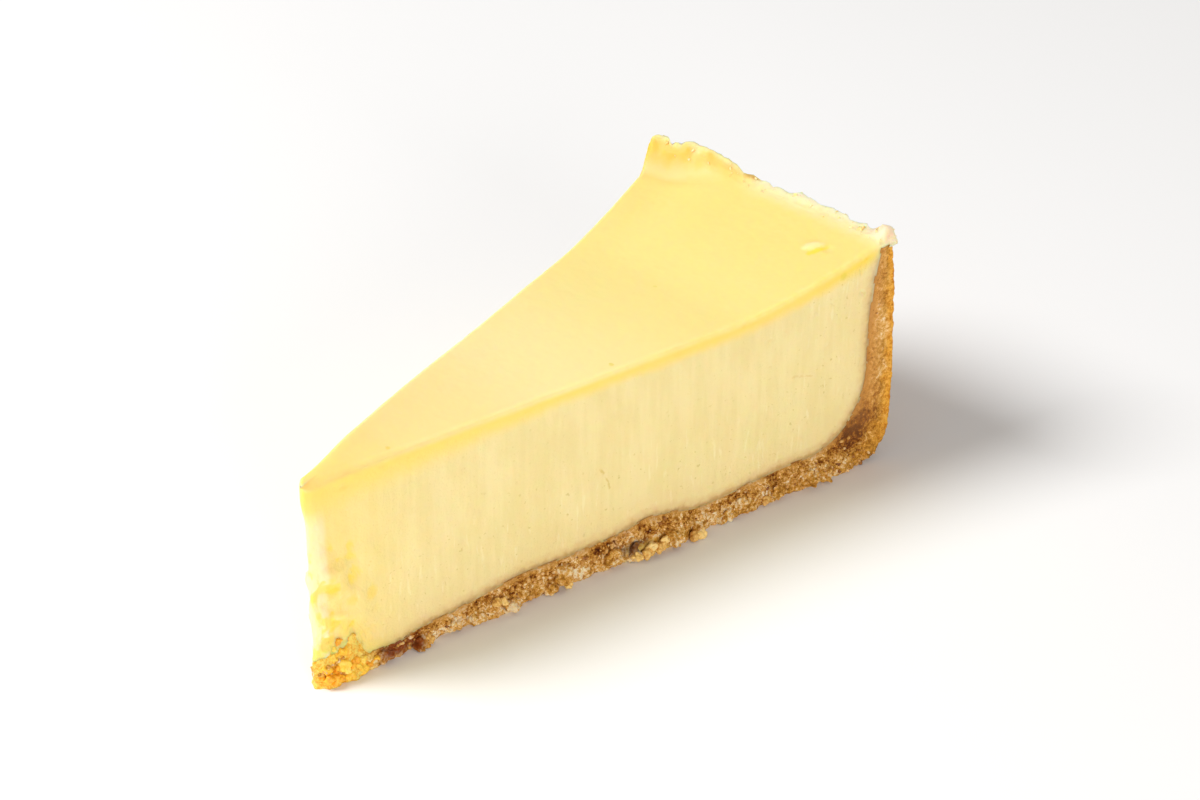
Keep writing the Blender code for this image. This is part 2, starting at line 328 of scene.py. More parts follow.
def crust_golden(radius, side, height):
    """1 where the crumbs are golden: baked so at the tip; low on the near cut half way along, partly painted
    glow.
    """
    golden = smooth((GOLDEN_TIP - radius) / GOLDEN_TIP_FADE)
    if side < -0.9:
        along = smooth(1 - abs(radius - GOLDEN_PATCH) / GOLDEN_PATCH_LENGTH)
        golden += along * smooth((GOLDEN_PATCH_TOP - height) / GOLDEN_PATCH_FADE)
    return min(golden, 1.0)


print("crumb relief at the tip's foot:", round(crumb_relief(place(0, 1, 0)) / MM, 2), "mm")


# %% Shape the crust
CRUST_CELLS = (500, 56, 26)
CRUST_FACTS = ("from_axis", "inward", "on_wall", "at_cut", "golden", "crumbly")
TIN_SIDE_PUSH = 0.16


def crust_push(along, side, inward, on_wall, share):
    """Which way a point moves when the surface is roughened, and how much."""
    settled = smooth((inward - 0.7) / 0.3)
    push = cut_normal(side) * share * (1 - 0.55 * on_wall) * (1 - 0.6 * settled)
    if along > 0.999:
        push += Vector((0, 0, 1))
    elif inward < 0.001 and on_wall > 0:
        push += outward(side) * TIN_SIDE_PUSH * on_wall
    return push


def crust_point(along, across, inward):
    side = -math.cos(math.pi * across)
    radius, height = crust_outside(along, side).lerp(crust_inside(along, side), inward)
    point = place(radius, side, height)
    share = cut_share(radius, side)
    crags = CRAGS_NEAR if side < 0 else CRAGS_FAR
    low = 1 - smooth(inward)
    on_wall = smooth((along - BASE_SHARE) / (CORNER_SHARE - BASE_SHARE))
    on_cut = place(radius, math.copysign(1, side), height)
    settled = smooth((inward - 0.7) / 0.3)
    rough = crumb_relief(on_cut) * (1 - 0.6 * on_wall) * (1 - 0.7 * settled)
    point += cut_normal(side) * share * (rough + swell(crags, radius) * low)
    ragged = noise.noise(Vector((0.5, side, height / CRUST_RAGGED_SIZE)))
    point.x -= CRUST_RAGGED_TIP * math.exp(-radius / CRUST_RAGGED_REACH) * ragged
    off_tip = smooth((radius - CRUMBLY_START) / CRUMBLY_FADE)
    crumbly = share * (1 - on_wall) * off_tip * (1 - settled)
    values = (radius, inward, on_wall, share, crust_golden(radius, side, height), crumbly)
    return point, values, crust_push(along, side, inward, on_wall, share)


crust = shaped_block("pressed_crust", CRUST_CELLS, crust_point, CRUST_FACTS)
print("pressed_crust:", len(crust.data.polygons), "cells")

# %% [markdown]
# ## The filling
#
# The filling stands on the crust and leans against its wall. While it baked it rose, clung to the
# wall and dried there, so its rim climbs, and where the tin was pulled off it tore. That torn edge
# lies over the wall's top and reaches out further in some places than in others. The top edge along
# each cut is rounded, since a knife drags the soft skin down a little as it goes in.

# %% Sizes of the filling
TOP_NEAR = 39.3 * MM
TOP_FAR = 42.1 * MM
TOP_SLOPE_NEAR = 0.001
TOP_SLOPE_FAR = -0.019
TIP_LEVEL = 0.5
TIP_LEVEL_REACH = 16 * MM
TOP_DISH = 0.5 * MM
TOP_DISH_START = 60 * MM
CLIMB_START = 88 * MM
CLIMB_POWER = 1.6
CLIMB_SHARE_FAR = 0.45
STEEP_START = 118 * MM
CREST_RADIUS = 124 * MM
CREST_NEAR = 45.7 * MM
CREST_FAR = 48.8 * MM
CREST_WAVE = 0.4 * MM
LIP_RISE_START = 120.8 * MM
LIP_RISE_LENGTH = 1.6 * MM
LIP_REACH = 124.8 * MM
LIP_RAGGED = 1.3 * MM
LIP_TAB_SIDE = -0.93
LIP_TAB_WIDTH = 0.08
LIP_TAB_RISE = 1.3 * MM
LIP_TAB_REACH = 1.4 * MM
LIP_TAB_LENGTH = 3.2 * MM
LIP_SHARE = 0.955
SINK = 0.35 * MM
EDGE_ROUND = 1.1 * MM


# %% Heights of the top and reach of the lip
def rim_climb(radius, side):
    """0 on the level top and 1 at the rim: a slow rise, and at the far side a steep last bit."""
    slow = min(max((radius - CLIMB_START) / (CREST_RADIUS - CLIMB_START), 0.0), 1.0) ** CLIMB_POWER
    steep = smooth((radius - STEEP_START) / (CREST_RADIUS - STEEP_START))
    return blend(steep, slow, blend(1, CLIMB_SHARE_FAR, smooth((side - 0.2) / 0.6)))


def top_height(radius, side):
    across = (0.5 + 0.5 * side) * blend(TIP_LEVEL, 1, smooth(radius / TIP_LEVEL_REACH))
    level = blend(TOP_NEAR, TOP_FAR, across) + blend(TOP_SLOPE_NEAR, TOP_SLOPE_FAR, across) * radius
    level -= TOP_DISH * (1 - side * side) * smooth(radius / TOP_DISH_START)
    crest = blend(CREST_NEAR, CREST_FAR, smooth((side - 0.1) / 0.5))
    return blend(level, crest, rim_climb(radius, side))


def lip_tab(side):
    return smooth(1.4 - 1.4 * abs(side - LIP_TAB_SIDE) / LIP_TAB_WIDTH)


def lip_reach(side):
    ragged = noise.noise(Vector((side * 9, 1.7, 4.1))) + 0.3 * noise.noise(Vector((side * 23, 5.2, 0.4)))
    return LIP_REACH + LIP_RAGGED * ragged + LIP_TAB_REACH * lip_tab(side)


print("the far crest stands at", round(top_height(CREST_RADIUS, 1) / MM, 1), "mm")


# %% The filling's underside and top
def filling_floor(along, side):
    inside = min(along / LIP_SHARE, 1.0)
    step = 0.001
    before = crust_inside(max(inside - step, 0.0), side)
    after = crust_inside(min(inside + step, 1.0), side)
    tangent = (after - before).normalized()
    foot = crust_inside(inside, side) - SINK * Vector((-tangent.y, tangent.x))
    over = smooth((along - LIP_SHARE + 0.012) / 0.012)
    foot.y = blend(foot.y, wall_crest(side) - SINK, over)
    if along > LIP_SHARE:
        foot.x = blend(foot.x, lip_reach(side), (along - LIP_SHARE) / (1 - LIP_SHARE))
    return foot


def filling_top(along, side):
    wall_inside = RIM_RADIUS - WALL_THICKNESS
    base_end = wall_inside - FILLET_RADIUS
    share = along / LIP_SHARE
    if share <= BASE_SHARE:
        radius = base_end * share / BASE_SHARE
    elif along <= LIP_SHARE:
        radius = blend(base_end, wall_inside + INNER_LEAN, (share - BASE_SHARE) / (1 - BASE_SHARE))
    else:
        out = (along - LIP_SHARE) / (1 - LIP_SHARE)
        radius = blend(wall_inside + INNER_LEAN, lip_reach(side) - EDGE_ROUND, out)
    at_rim = smooth((radius - LIP_RISE_START) / LIP_RISE_LENGTH)
    uneven = CREST_WAVE * noise.noise(Vector((side * 17, 0.2, 8.8)))
    outer = smooth((radius - LIP_RISE_START) / LIP_TAB_LENGTH)
    height = top_height(radius, side) + outer * LIP_TAB_RISE * lip_tab(side) + at_rim * uneven
    return Vector((radius, height))


middle_height = filling_top(0.5, 0).y - filling_floor(0.5, 0).y
print("half way along, the filling is", round(middle_height / MM, 1), "mm high")


# %% Small forms of the filling
BUMP_PLACE = Vector((112.9, -16.2, 0)) * MM
BUMP_TURN = math.radians(49.6)
BUMP_AXIS = Vector((math.cos(BUMP_TURN), -math.sin(BUMP_TURN), 0))
BUMP_LENGTH = 2.5 * MM
BUMP_WIDTH = 1.5 * MM
BUMP_RISE = 0.4 * MM
DIP_PLACE = Vector((113.4, -19.0, 0)) * MM
DIP_RADIUS = 1.2 * MM
DIP_DEPTH = 0.22 * MM
TIP_HOLLOW_TOP = 29 * MM
TIP_HOLLOW_DEPTH = 1.5 * MM
TIP_HOLLOW_REACH = 6.5 * MM
TIP_HOLLOW_FADE = 8 * MM
TIP_HOLLOW_SIZE = 4.5 * MM


def top_marks(point):
    """A little lump that rose in the oven near the rim, and the hollow beside it."""
    along = (point - BUMP_PLACE).dot(BUMP_AXIS)
    across = (point - BUMP_PLACE).cross(BUMP_AXIS).z
    bump = smooth(1.35 - 1.35 * math.hypot(along / BUMP_LENGTH, across / BUMP_WIDTH))
    dip = smooth(1.2 - (point - DIP_PLACE).xy.length / DIP_RADIUS)
    return BUMP_RISE * bump - DIP_DEPTH * dip


def tip_hollows(point, radius):
    reach = math.exp(-radius / TIP_HOLLOW_REACH)
    lower = smooth((TIP_HOLLOW_TOP - point.z) / TIP_HOLLOW_FADE)
    return TIP_HOLLOW_DEPTH * reach * lower * noise.noise(point / TIP_HOLLOW_SIZE)


print("the lump near the rim rises by", round(top_marks(BUMP_PLACE) / MM, 2), "mm")


# %% Distance to the crust
SECTION_STEPS = 400
SECTION_NEAR = np.array([crust_inside(step / SECTION_STEPS, -1) for step in range(SECTION_STEPS + 1)])
SECTION_FAR = np.array([crust_inside(step / SECTION_STEPS, 1) for step in range(SECTION_STEPS + 1)])


def distance_to_crust(radius, height, side):
    """How far a point of the filling lies from the crust's inner face, in the section of its cut."""
    section = SECTION_FAR if side > 0 else SECTION_NEAR
    return float(np.hypot(section[:, 0] - radius, section[:, 1] - height).min())


print("each cut's section of the crust has", len(SECTION_NEAR), "points")


# %% Shape the filling
FILLING_CELLS = (260, 90, 72)
FILLING_FACTS = ("from_axis", "below_top", "at_lip", "at_cut", "near_crust", "from_cut", "torn")
TORN_REACH = 17 * MM
TORN_FADE = 13 * MM
TORN_TOP = 31 * MM
TORN_TOP_FADE = 9 * MM


def edge_rounding(distance):
    """How far a point sinks because it is that close to a rounded edge."""
    return 0.3 * EDGE_ROUND * max(0.0, 1 - distance / EDGE_ROUND) ** 2


def filling_push(along, side, upward, share, at_lip):
    """Which way a point moves when the knife's marks are added, and how much."""
    push = cut_normal(side) * (share if upward < 0.999 else share ** 4)
    if along > 0.999:
        push += outward(side)
    if upward > 0.999:
        push += Vector((0, 0, 0.6 * at_lip))
    return push


def filling_point(along, across, upward):
    side = -math.cos(math.pi * across)
    upward = even_ends(upward, 0.6)
    floor, top = filling_floor(along, side), filling_top(along, side)
    radius, height = floor.lerp(top, upward)
    point = place(radius, side, height)
    share = cut_share(radius, side)
    on_cut = place(radius, math.copysign(1, side), height)
    point += cut_normal(side) * share * tip_hollows(on_cut, radius)
    below = (top.y - floor.y) * (1 - upward)
    from_cut = radius * HALF_ANGLE * (1 - abs(side))
    sunk = edge_rounding(below + from_cut)
    point -= cut_normal(side) * sunk
    point.z -= sunk
    flat = Vector((point.x, point.y, 0))
    point.z += top_marks(flat) * smooth((upward - 0.9) / 0.1)
    at_lip = smooth((along - LIP_SHARE + 0.03) / 0.035)
    torn = smooth((TORN_REACH - radius) / TORN_FADE) * smooth((TORN_TOP - height) / TORN_TOP_FADE)
    near_crust = distance_to_crust(radius, height, side)
    values = (radius, below, at_lip, share, near_crust, from_cut, torn)
    return point, values, filling_push(along, side, upward, share, at_lip)


filling = shaped_block("baked_filling", FILLING_CELLS, filling_point, FILLING_FACTS)
print("baked_filling:", len(filling.data.polygons), "cells")

# %% [markdown]
# ## Relief made by nodes
#
# Drag marks and grains follow a simple rule over a whole surface, so Geometry Nodes make them: each
# point moves along its own push by an amount that comes from a few noises. The sizes are named
# inputs, so a baker's change of mind is one number. These helpers build a tree, set its inputs by
# their identifiers, and turn the result back into a plain mesh.

# %% Node helpers
def new_tree(name, sizes):
    """A node group with a geometry in and out, and a named number for each size."""
    tree = bpy.data.node_groups.new(name, "GeometryNodeTree")
    tree.interface.new_socket("Geometry", in_out="INPUT", socket_type="NodeSocketGeometry")
    for size, value in sizes.items():
        socket = tree.interface.new_socket(size, in_out="INPUT", socket_type="NodeSocketFloat")
        socket.default_value = value
    tree.interface.new_socket("Geometry", in_out="OUTPUT", socket_type="NodeSocketGeometry")
    return tree, tree.nodes.new("NodeGroupInput"), tree.nodes.new("NodeGroupOutput")


def add(tree, kind, settings=None, **inputs):
    """Adds a node. Inputs are given by name, or as _0 by number, as values or as sockets to link from."""
    node = tree.nodes.new(kind)
    for setting, value in (settings or {}).items():
        setattr(node, setting, value)
    for name, value in inputs.items():
        socket = node.inputs[int(name[1:])] if name[0] == "_" else node.inputs[name.replace("_", " ")]
        if isinstance(value, bpy.types.NodeSocket):
            tree.links.new(value, socket)
        else:
            socket.default_value = value
    return node


def calculate(tree, operation, first, second=0.0, third=0.0):
    return add(tree, "ShaderNodeMath", {"operation": operation}, _0=first, _1=second, _2=third).outputs[0]


def times(tree, *factors):
    product = factors[0]
    for factor in factors[1:]:
        product = calculate(tree, "MULTIPLY", product, factor)
    return product


def vector_maths(tree, operation, first, second):
    """Adds a vector operation. A distance or a dot product is a number, the others are vectors."""
    node = add(tree, "ShaderNodeVectorMath", {"operation": operation}, _0=first, _1=second)
    return node.outputs["Value" if operation in ("DISTANCE", "DOT_PRODUCT") else "Vector"]


def scale_vector(tree, vector, factor):
    return add(tree, "ShaderNodeVectorMath", {"operation": "SCALE"}, _0=vector, _3=factor).outputs[0]


def fact(tree, name, kind="FLOAT"):
    """Reads a fact that the points carry."""
    return add(tree, "GeometryNodeInputNamedAttribute", {"data_type": kind}, Name=name).outputs[0]


def close_tree(tree, end, geometry, material):
    """Ends a tree: every copy is made real, and the material is set."""
    real = add(tree, "GeometryNodeRealizeInstances", Geometry=geometry)
    dressed = add(tree, "GeometryNodeSetMaterial", Geometry=real.outputs[0])
    dressed.inputs["Material"].default_value = material
    tree.links.new(dressed.outputs[0], end.inputs[0])
    return tree


def run_tree(piece, tree, sizes):
    """Sets the tree's inputs by identifier, runs it on the piece and keeps the result as a plain mesh."""
    modifier = piece.modifiers.new(tree.name, "NODES")
    modifier.node_group = tree
    for item in tree.interface.items_tree:
        if item.item_type == "SOCKET" and item.in_out == "INPUT" and item.name in sizes:
            modifier[item.identifier] = sizes[item.name]
    bpy.context.view_layer.update()
    evaluated = piece.evaluated_get(bpy.context.evaluated_depsgraph_get())
    mesh = bpy.data.meshes.new_from_object(evaluated)
    piece.modifiers.remove(modifier)
    old = piece.data
    piece.data = mesh
    bpy.data.meshes.remove(old)


# %% [markdown]
# ## Colours for the finishes
#
# Colours are noted as they look on a screen and turned into the linear values that shaders work in.

# %% Colour helpers
def screen(red, green, blue):
    """A screen colour of 0 to 255 as the linear colour that a shader takes."""
    linear = [((v / 255 + 0.055) / 1.055) ** 2.4 if v > 10 else v / 255 / 12.92 for v in (red, green, blue)]
    return (*linear, 1.0)


def new_finish(name):
    material = bpy.data.materials.new(name)
    material.use_nodes = True
    tree = material.node_tree
    return material, tree, tree.nodes["Principled BSDF"]


def mix_colours(tree, share, first, second):
    node = add(tree, "ShaderNodeMix", {"data_type": "RGBA"}, _0=share, _6=first, _7=second)
    return node.outputs[2]


def tint(tree, body, share, colour, strength=1.0):
    """Lays a screen colour over the body where the share is 1, as strongly as the strength says."""
    return mix_colours(tree, times(tree, share, strength), body, screen(*colour))


def ease(tree, value, low, high):
    """0 at low, 1 at high, and an even curve between."""
    return add(tree, "ShaderNodeMapRange", {"interpolation_type": "SMOOTHSTEP"},
               Value=value, From_Min=low, From_Max=high).outputs[0]


def colour_ramp(tree, value, stops):
    """Screen colours along a value, each given with its place from 0 to 1."""
    ramp = add(tree, "ShaderNodeValToRGB", Fac=value)
    elements = ramp.color_ramp.elements
    (first_place, first), *between, (last_place, last) = stops
    elements[0].position, elements[0].color = first_place, screen(*first)
    elements[1].position, elements[1].color = last_place, screen(*last)
    for stop_place, colour in between:
        elements.new(stop_place).color = screen(*colour)
    return ramp.outputs[0]


print("a screen grey of 128 is", round(screen(128, 128, 128)[0], 3), "in linear light")


# %% Pattern helpers
def attribute(tree, name):
    return add(tree, "ShaderNodeAttribute", {"attribute_name": name}).outputs["Fac"]


def object_position(tree):
    return add(tree, "ShaderNodeTexCoord").outputs["Object"]


def texture_noise(tree, size, detail=3.0, stretch=None, roughness=0.5):
    vector = object_position(tree)
    if stretch:
        vector = vector_maths(tree, "MULTIPLY", vector, stretch)
    return add(tree, "ShaderNodeTexNoise", Vector=vector, Scale=1 / size, Detail=detail,
               Roughness=roughness).outputs[0]


def shaken_position(tree, size, amount):
    """Object coordinates that a noise pushes about, so that marks get uneven outlines."""
    position = object_position(tree)
    wander = add(tree, "ShaderNodeTexNoise", Vector=position, Scale=1 / size, Detail=2.0).outputs["Color"]
    wander = vector_maths(tree, "SUBTRACT", wander, (0.5, 0.5, 0.5))
    return vector_maths(tree, "ADD", position, scale_vector(tree, wander, amount))


def spot(tree, position, place_mm, size):
    """1 in the middle of a small round mark, 0 outside it."""
    distance = vector_maths(tree, "DISTANCE", position, CENTRE + Vector(place_mm) * MM)
    return ease(tree, distance, size, 0.3 * size)


def line_mark(tree, position, start_mm, end_mm, width):
    """1 along a thin straight mark between two points, 0 away from it."""
    first, last = CENTRE + Vector(start_mm) * MM, CENTRE + Vector(end_mm) * MM
    direction = (last - first).normalized()
    offset = vector_maths(tree, "SUBTRACT", position, first)
    along = vector_maths(tree, "DOT_PRODUCT", offset, direction)
    along = calculate(tree, "MINIMUM", calculate(tree, "MAXIMUM", along, 0.0), (last - first).length)
    distance = vector_maths(tree, "DISTANCE", offset, scale_vector(tree, direction, along))
    return ease(tree, distance, width, 0.2 * width)


# %% Surface helpers
def link_surface(tree, shader, colour, roughness):
    tree.links.new(colour, shader.inputs["Base Color"])
    tree.links.new(roughness, shader.inputs["Roughness"])


def let_light_in(shader, radius, scale):
    """How far red, green and blue light go under the surface, as shares of the scale."""
    shader.inputs["Subsurface Radius"].default_value = radius
    shader.inputs["Subsurface Scale"].default_value = scale


def add_grain(tree, shader, height, strength, depth):
    bump = add(tree, "ShaderNodeBump", Height=height, Strength=strength, Distance=depth)
    tree.links.new(bump.outputs[0], shader.inputs["Normal"])


# %% [markdown]
# ## The finish of the filling
#
# One batter has two looks. On the cuts it is a matt cream. Where the oven's heat reached, it is a
# lemon yellow skin about two millimetres deep that fades into the cream with no line, and goes
# deeper at the thin tip, which took more heat. Light goes a few millimetres into it, which gives the
# soft glow, so subsurface scattering is on in full. The attributes say how deep below the top a point
# lies, and how close to the crust. Each small mark is a place in millimetres from the cake's centre.

# %% The cream of the cut
CREAM_SHADES = (screen(236, 217, 152), screen(242, 224, 164))
CRUST_EDGE_TINTS = (
    (3.4 * MM, 1.4 * MM, (222, 184, 124), 0.6),
    (1.9 * MM, 0.8 * MM, (196, 144, 80), 0.75))
GOLDEN_EDGE = (4.4 * MM, 1.2 * MM)


def plain_cream(tree, crust_distance):
    """A faint mottle with short pale drags and small darker pores, more of them lower down."""
    lower = ease(tree, crust_distance, 21 * MM, 8 * MM)
    streaks = texture_noise(tree, 1.3 * MM, stretch=(1, 1, 0.12))
    mottle = texture_noise(tree, 6 * MM, stretch=(1, 1, 0.5))
    mixed = calculate(tree, "MULTIPLY_ADD", streaks, 0.9, times(tree, mottle, 1.3))
    cream = mix_colours(tree, ease(tree, mixed, 0.75, 1.45), *CREAM_SHADES)
    drags = ease(tree, texture_noise(tree, 0.9 * MM, stretch=(1, 1, 0.2)), 0.58, 0.72)
    cream = tint(tree, cream, times(tree, drags, lower), (250, 238, 192), 0.45)
    pores = ease(tree, texture_noise(tree, 0.8 * MM, detail=2.0), 0.66, 0.74)
    pores = times(tree, pores, calculate(tree, "MULTIPLY_ADD", lower, 0.4, 0.2))
    return tint(tree, cream, pores, (206, 184, 104))


def cream_by_crust(tree, cream, crust_distance):
    """Moist and then brown where the batter met the crust, but golden at the tip."""
    uneven = calculate(tree, "MULTIPLY_ADD", texture_noise(tree, 1.4 * MM), 1.8 * MM, crust_distance)
    cream = tint(tree, cream, ease(tree, uneven, 9 * MM, 2 * MM), (236, 213, 152), 0.5)
    from_tip = ease(tree, attribute(tree, "from_axis"), 9 * MM, 17 * MM)
    for far, near, colour, strength in CRUST_EDGE_TINTS:
        edge = times(tree, ease(tree, uneven, far, near), from_tip)
        cream = tint(tree, cream, edge, colour, strength)
    gold = times(tree, ease(tree, uneven, *GOLDEN_EDGE), calculate(tree, "SUBTRACT", 1.0, from_tip))
    return tint(tree, cream, gold, (250, 206, 96), 0.6)


# %% Marks on the cut
TIP_YELLOW_SPOTS = (
    (6.9, -2.0, 10.4, 2.2), (8.1, -2.4, 14.8, 1.4), (12.0, -3.2, 14.7, 1.8),
    (4.2, -1.8, 17.8, 1.5), (3.8, -1.8, 20.4, 1.2), (4.2, -1.6, 11.4, 1.3))
CRACK_SHADE = ((57.9, -13.3, 21.0), (59.3, -13.6, 18.4), (60.0, -13.7, 16.4))
SCRATCH = ((98.8, -22.5, 24.8), (103.8, -23.7, 23.2))
SCRATCH_WIDTH = 0.3 * MM


def cut_marks(tree, cream, position):
    """Yellow spots at the tip, the painted shade of a fine crack, and a scratch."""
    for *spot_place, size in TIP_YELLOW_SPOTS:
        cream = tint(tree, cream, spot(tree, position, spot_place, size * MM), (250, 214, 84), 0.55)
    # Painted shade: the fine crack is a darker line, with no groove in the surface.
    halves = [line_mark(tree, position, *ends, SCRATCH_WIDTH) for ends in (CRACK_SHADE[:2], CRACK_SHADE[1:])]
    cream = tint(tree, cream, calculate(tree, "MAXIMUM", *halves), (214, 186, 92), 0.6)
    scratch = line_mark(tree, position, *SCRATCH, SCRATCH_WIDTH)
    return tint(tree, cream, scratch, (226, 198, 126), 0.5)


# %% The baked skin
SKIN_SHADES = (screen(255, 229, 170), screen(255, 228, 158))
SKIN_CHANGES = (
    (58 * MM, 30 * MM, (253, 222, 152)),
    (45 * MM, 92 * MM, (253, 224, 142)),
    (92 * MM, 116 * MM, (250, 217, 132)))
SKIN_EDGE_SHADES = (screen(251, 219, 116), screen(242, 215, 88))
SKIN_EDGE_DEPTH = (0.1 * MM, 1.3 * MM)
# Painted shade of small pits in the top, each a place and a radius in mm; the surface has no dent there.
PIT_SHADES = (
    (110.2, -10.6, 41.2, 0.9), (62.2, -11.9, 39.5, 0.7), (88.4, 0.1, 39.7, 0.6), (7.5, 0.8, 39.8, 0.6),
    (17.5, -2.3, 39.4, 0.7), (111.0, 10.9, 41.9, 0.6), (110.2, -25.2, 41.2, 1.1))
PALE_LUMP = ((112.2, -15.3, 43.2), (113.6, -17.0, 43.2))
YELLOW_CRESCENT = ((110.8, -16.9, 42.8), (113.9, -18.6, 42.9))


def skin_colours(tree, from_axis, below):
    """The baked top: lemon yellow, deeper towards the rim, with a broken painted highlight along each cut's
    edge.
    """
    skin = mix_colours(tree, texture_noise(tree, 18 * MM), *SKIN_SHADES)
    for start, end, colour in SKIN_CHANGES:
        skin = tint(tree, skin, ease(tree, from_axis, start, end), colour)
    # Painted highlight: the top is paler in a broken band close to each cut's edge.
    edge_highlight = ease(tree, attribute(tree, "from_cut"), 1.7 * MM, 0.5 * MM)
    broken = ease(tree, texture_noise(tree, 1.6 * MM), 0.38, 0.66)
    skin = tint(tree, skin, times(tree, edge_highlight, broken), (255, 238, 186), 0.12)
    edge = mix_colours(tree, ease(tree, from_axis, 100 * MM, 120 * MM), *SKIN_EDGE_SHADES)
    return mix_colours(tree, ease(tree, below, *SKIN_EDGE_DEPTH), skin, edge)


def top_spots(tree, body, position):
    """Painted shade of small pits in the top, and the light and shade of the little lump near the rim."""
    for *pit_place, size in PIT_SHADES:
        body = tint(tree, body, spot(tree, position, pit_place, size * MM), (226, 202, 60), 0.55)
    body = tint(tree, body, line_mark(tree, position, *PALE_LUMP, 1.4 * MM), (255, 236, 184), 0.5)
    crescent = line_mark(tree, position, *YELLOW_CRESCENT, 0.9 * MM)
    return tint(tree, body, crescent, (246, 218, 52), 0.75)


# %% The rim
RIM_FOOT = (115.5 * MM, 120.5 * MM)
HOLLOW_START = (121.0 * MM, 122.9 * MM)
HOLLOW_END = (124.9 * MM, 123.7 * MM)
LIP_START = (123.4 * MM, 125.2 * MM)
WORN_START = (119.5 * MM, 125.2 * MM)
TOAST_START = (123.0 * MM, 124.0 * MM)
LIP_OUTSIDE = (124.6 * MM, 125.3 * MM)
LIP_UNDERSIDE = (0.6 * MM, 1.4 * MM)
TAB_PLACE = (121.8, -25.4, 47.0)
TAB_SIZE = 4.6 * MM
GAP_SHADE_BY_TAB = ((120.9, -24.4, 46.4), (120.1, -25.0, 45.0))
STUCK_CRUMB = ((123.0, 6.6, 46.0), (123.8, 4.2, 45.9))


def rim_colours(tree, body, from_axis, uneven, below):
    """Pale and frayed at the lip, with a golden hollow along its foot at the far side."""
    across = add(tree, "ShaderNodeSeparateXYZ", Vector=object_position(tree)).outputs[1]
    # Golden tan on the far slope below the rim: partly baked colour, partly painted shade that dulls its lit
    # face.
    foot = times(tree, ease(tree, from_axis, *RIM_FOOT), ease(tree, across, 4 * MM, 22 * MM))
    body = tint(tree, body, foot, (228, 190, 114), 0.85)
    hollow = times(tree, ease(tree, uneven, *HOLLOW_START), ease(tree, uneven, *HOLLOW_END),
                   ease(tree, across, 3 * MM, 20 * MM))
    body = tint(tree, body, hollow, (234, 184, 58), 0.9)
    body = tint(tree, body, ease(tree, uneven, *LIP_START), (252, 228, 166), 0.8)
    worn = times(tree, ease(tree, uneven, *WORN_START), ease(tree, across, 9 * MM, 1 * MM))
    body = tint(tree, body, worn, (252, 230, 188), 0.9)
    outside = times(tree, ease(tree, from_axis, *LIP_OUTSIDE), ease(tree, below, *LIP_UNDERSIDE))
    return tint(tree, body, outside, (246, 204, 146), 0.8)


def rim_marks(tree, body, uneven):
    """The bleached tab at the near corner, painted shade on its shoulder and by it, a crumb in the lip, and
    toasted specks.
    """
    # The tab's pale spot also reaches over its lit shoulder, as painted shade.
    tab = spot(tree, shaken_position(tree, 1.1 * MM, 1.1 * MM), TAB_PLACE, TAB_SIZE)
    body = tint(tree, body, tab, (240, 212, 182), 0.85)
    # Painted shade: the gap beside the tab is only a dark line.
    gap = line_mark(tree, shaken_position(tree, 0.8 * MM, 0.8 * MM), *GAP_SHADE_BY_TAB, 0.6 * MM)
    body = tint(tree, body, gap, (186, 152, 66), 0.8)
    crumb = line_mark(tree, shaken_position(tree, 1.1 * MM, 1.4 * MM), *STUCK_CRUMB, 1.1 * MM)
    body = tint(tree, body, crumb, (206, 156, 62), 0.8)
    toast = ease(tree, texture_noise(tree, 0.7 * MM, roughness=0.7), 0.6, 0.72)
    toast = times(tree, toast, ease(tree, uneven, *TOAST_START))
    return tint(tree, body, toast, (226, 184, 104), 0.5)


# %% Filling finish
FILLING_LIGHT_DEPTH = 2.0 * MM
SKIN_DEPTH = 2.0 * MM
CREAM_DEPTH = 4.6 * MM
DEEPER_AT_TIP = 4.0 * MM


def tip_colours(tree, body, from_axis, below):
    """Yellower towards the tip, with a worn pale edge, and painted yellow bounce light in the hollows of its
    torn face.
    """
    body = tint(tree, body, ease(tree, from_axis, 26 * MM, 0.0), (246, 218, 114), 0.55)
    worn = times(tree, ease(tree, from_axis, 2.6 * MM, 0.8 * MM), ease(tree, below, 4 * MM, 9 * MM))
    body = tint(tree, body, worn, (248, 232, 190), 0.7)
    # Painted bounce light: the deepest hollows of the torn tip are tinted strong yellow.
    return tint(tree, body, ease(tree, attribute(tree, "hollow"), 0.02, 0.12), (250, 220, 44), 0.6)


def filling_colours(tree, below):
    position = shaken_position(tree, 1.1 * MM, 1.1 * MM)
    from_axis, crust_distance = attribute(tree, "from_axis"), attribute(tree, "near_crust")
    cream = cream_by_crust(tree, plain_cream(tree, crust_distance), crust_distance)
    cream = cut_marks(tree, cream, position)
    uneven_depth = calculate(tree, "MULTIPLY_ADD", texture_noise(tree, 5 * MM), 1.6 * MM, below)
    deeper = times(tree, ease(tree, from_axis, 60 * MM, 2 * MM), DEEPER_AT_TIP)
    fade = ease(tree, uneven_depth, SKIN_DEPTH, calculate(tree, "ADD", deeper, CREAM_DEPTH))
    body = mix_colours(tree, fade, skin_colours(tree, from_axis, below), cream)
    body = top_spots(tree, tip_colours(tree, body, from_axis, below), position)
    uneven_reach = calculate(tree, "MULTIPLY_ADD", texture_noise(tree, 3.5 * MM), 2.4 * MM, from_axis)
    return rim_marks(tree, rim_colours(tree, body, from_axis, uneven_reach, below), uneven_reach)


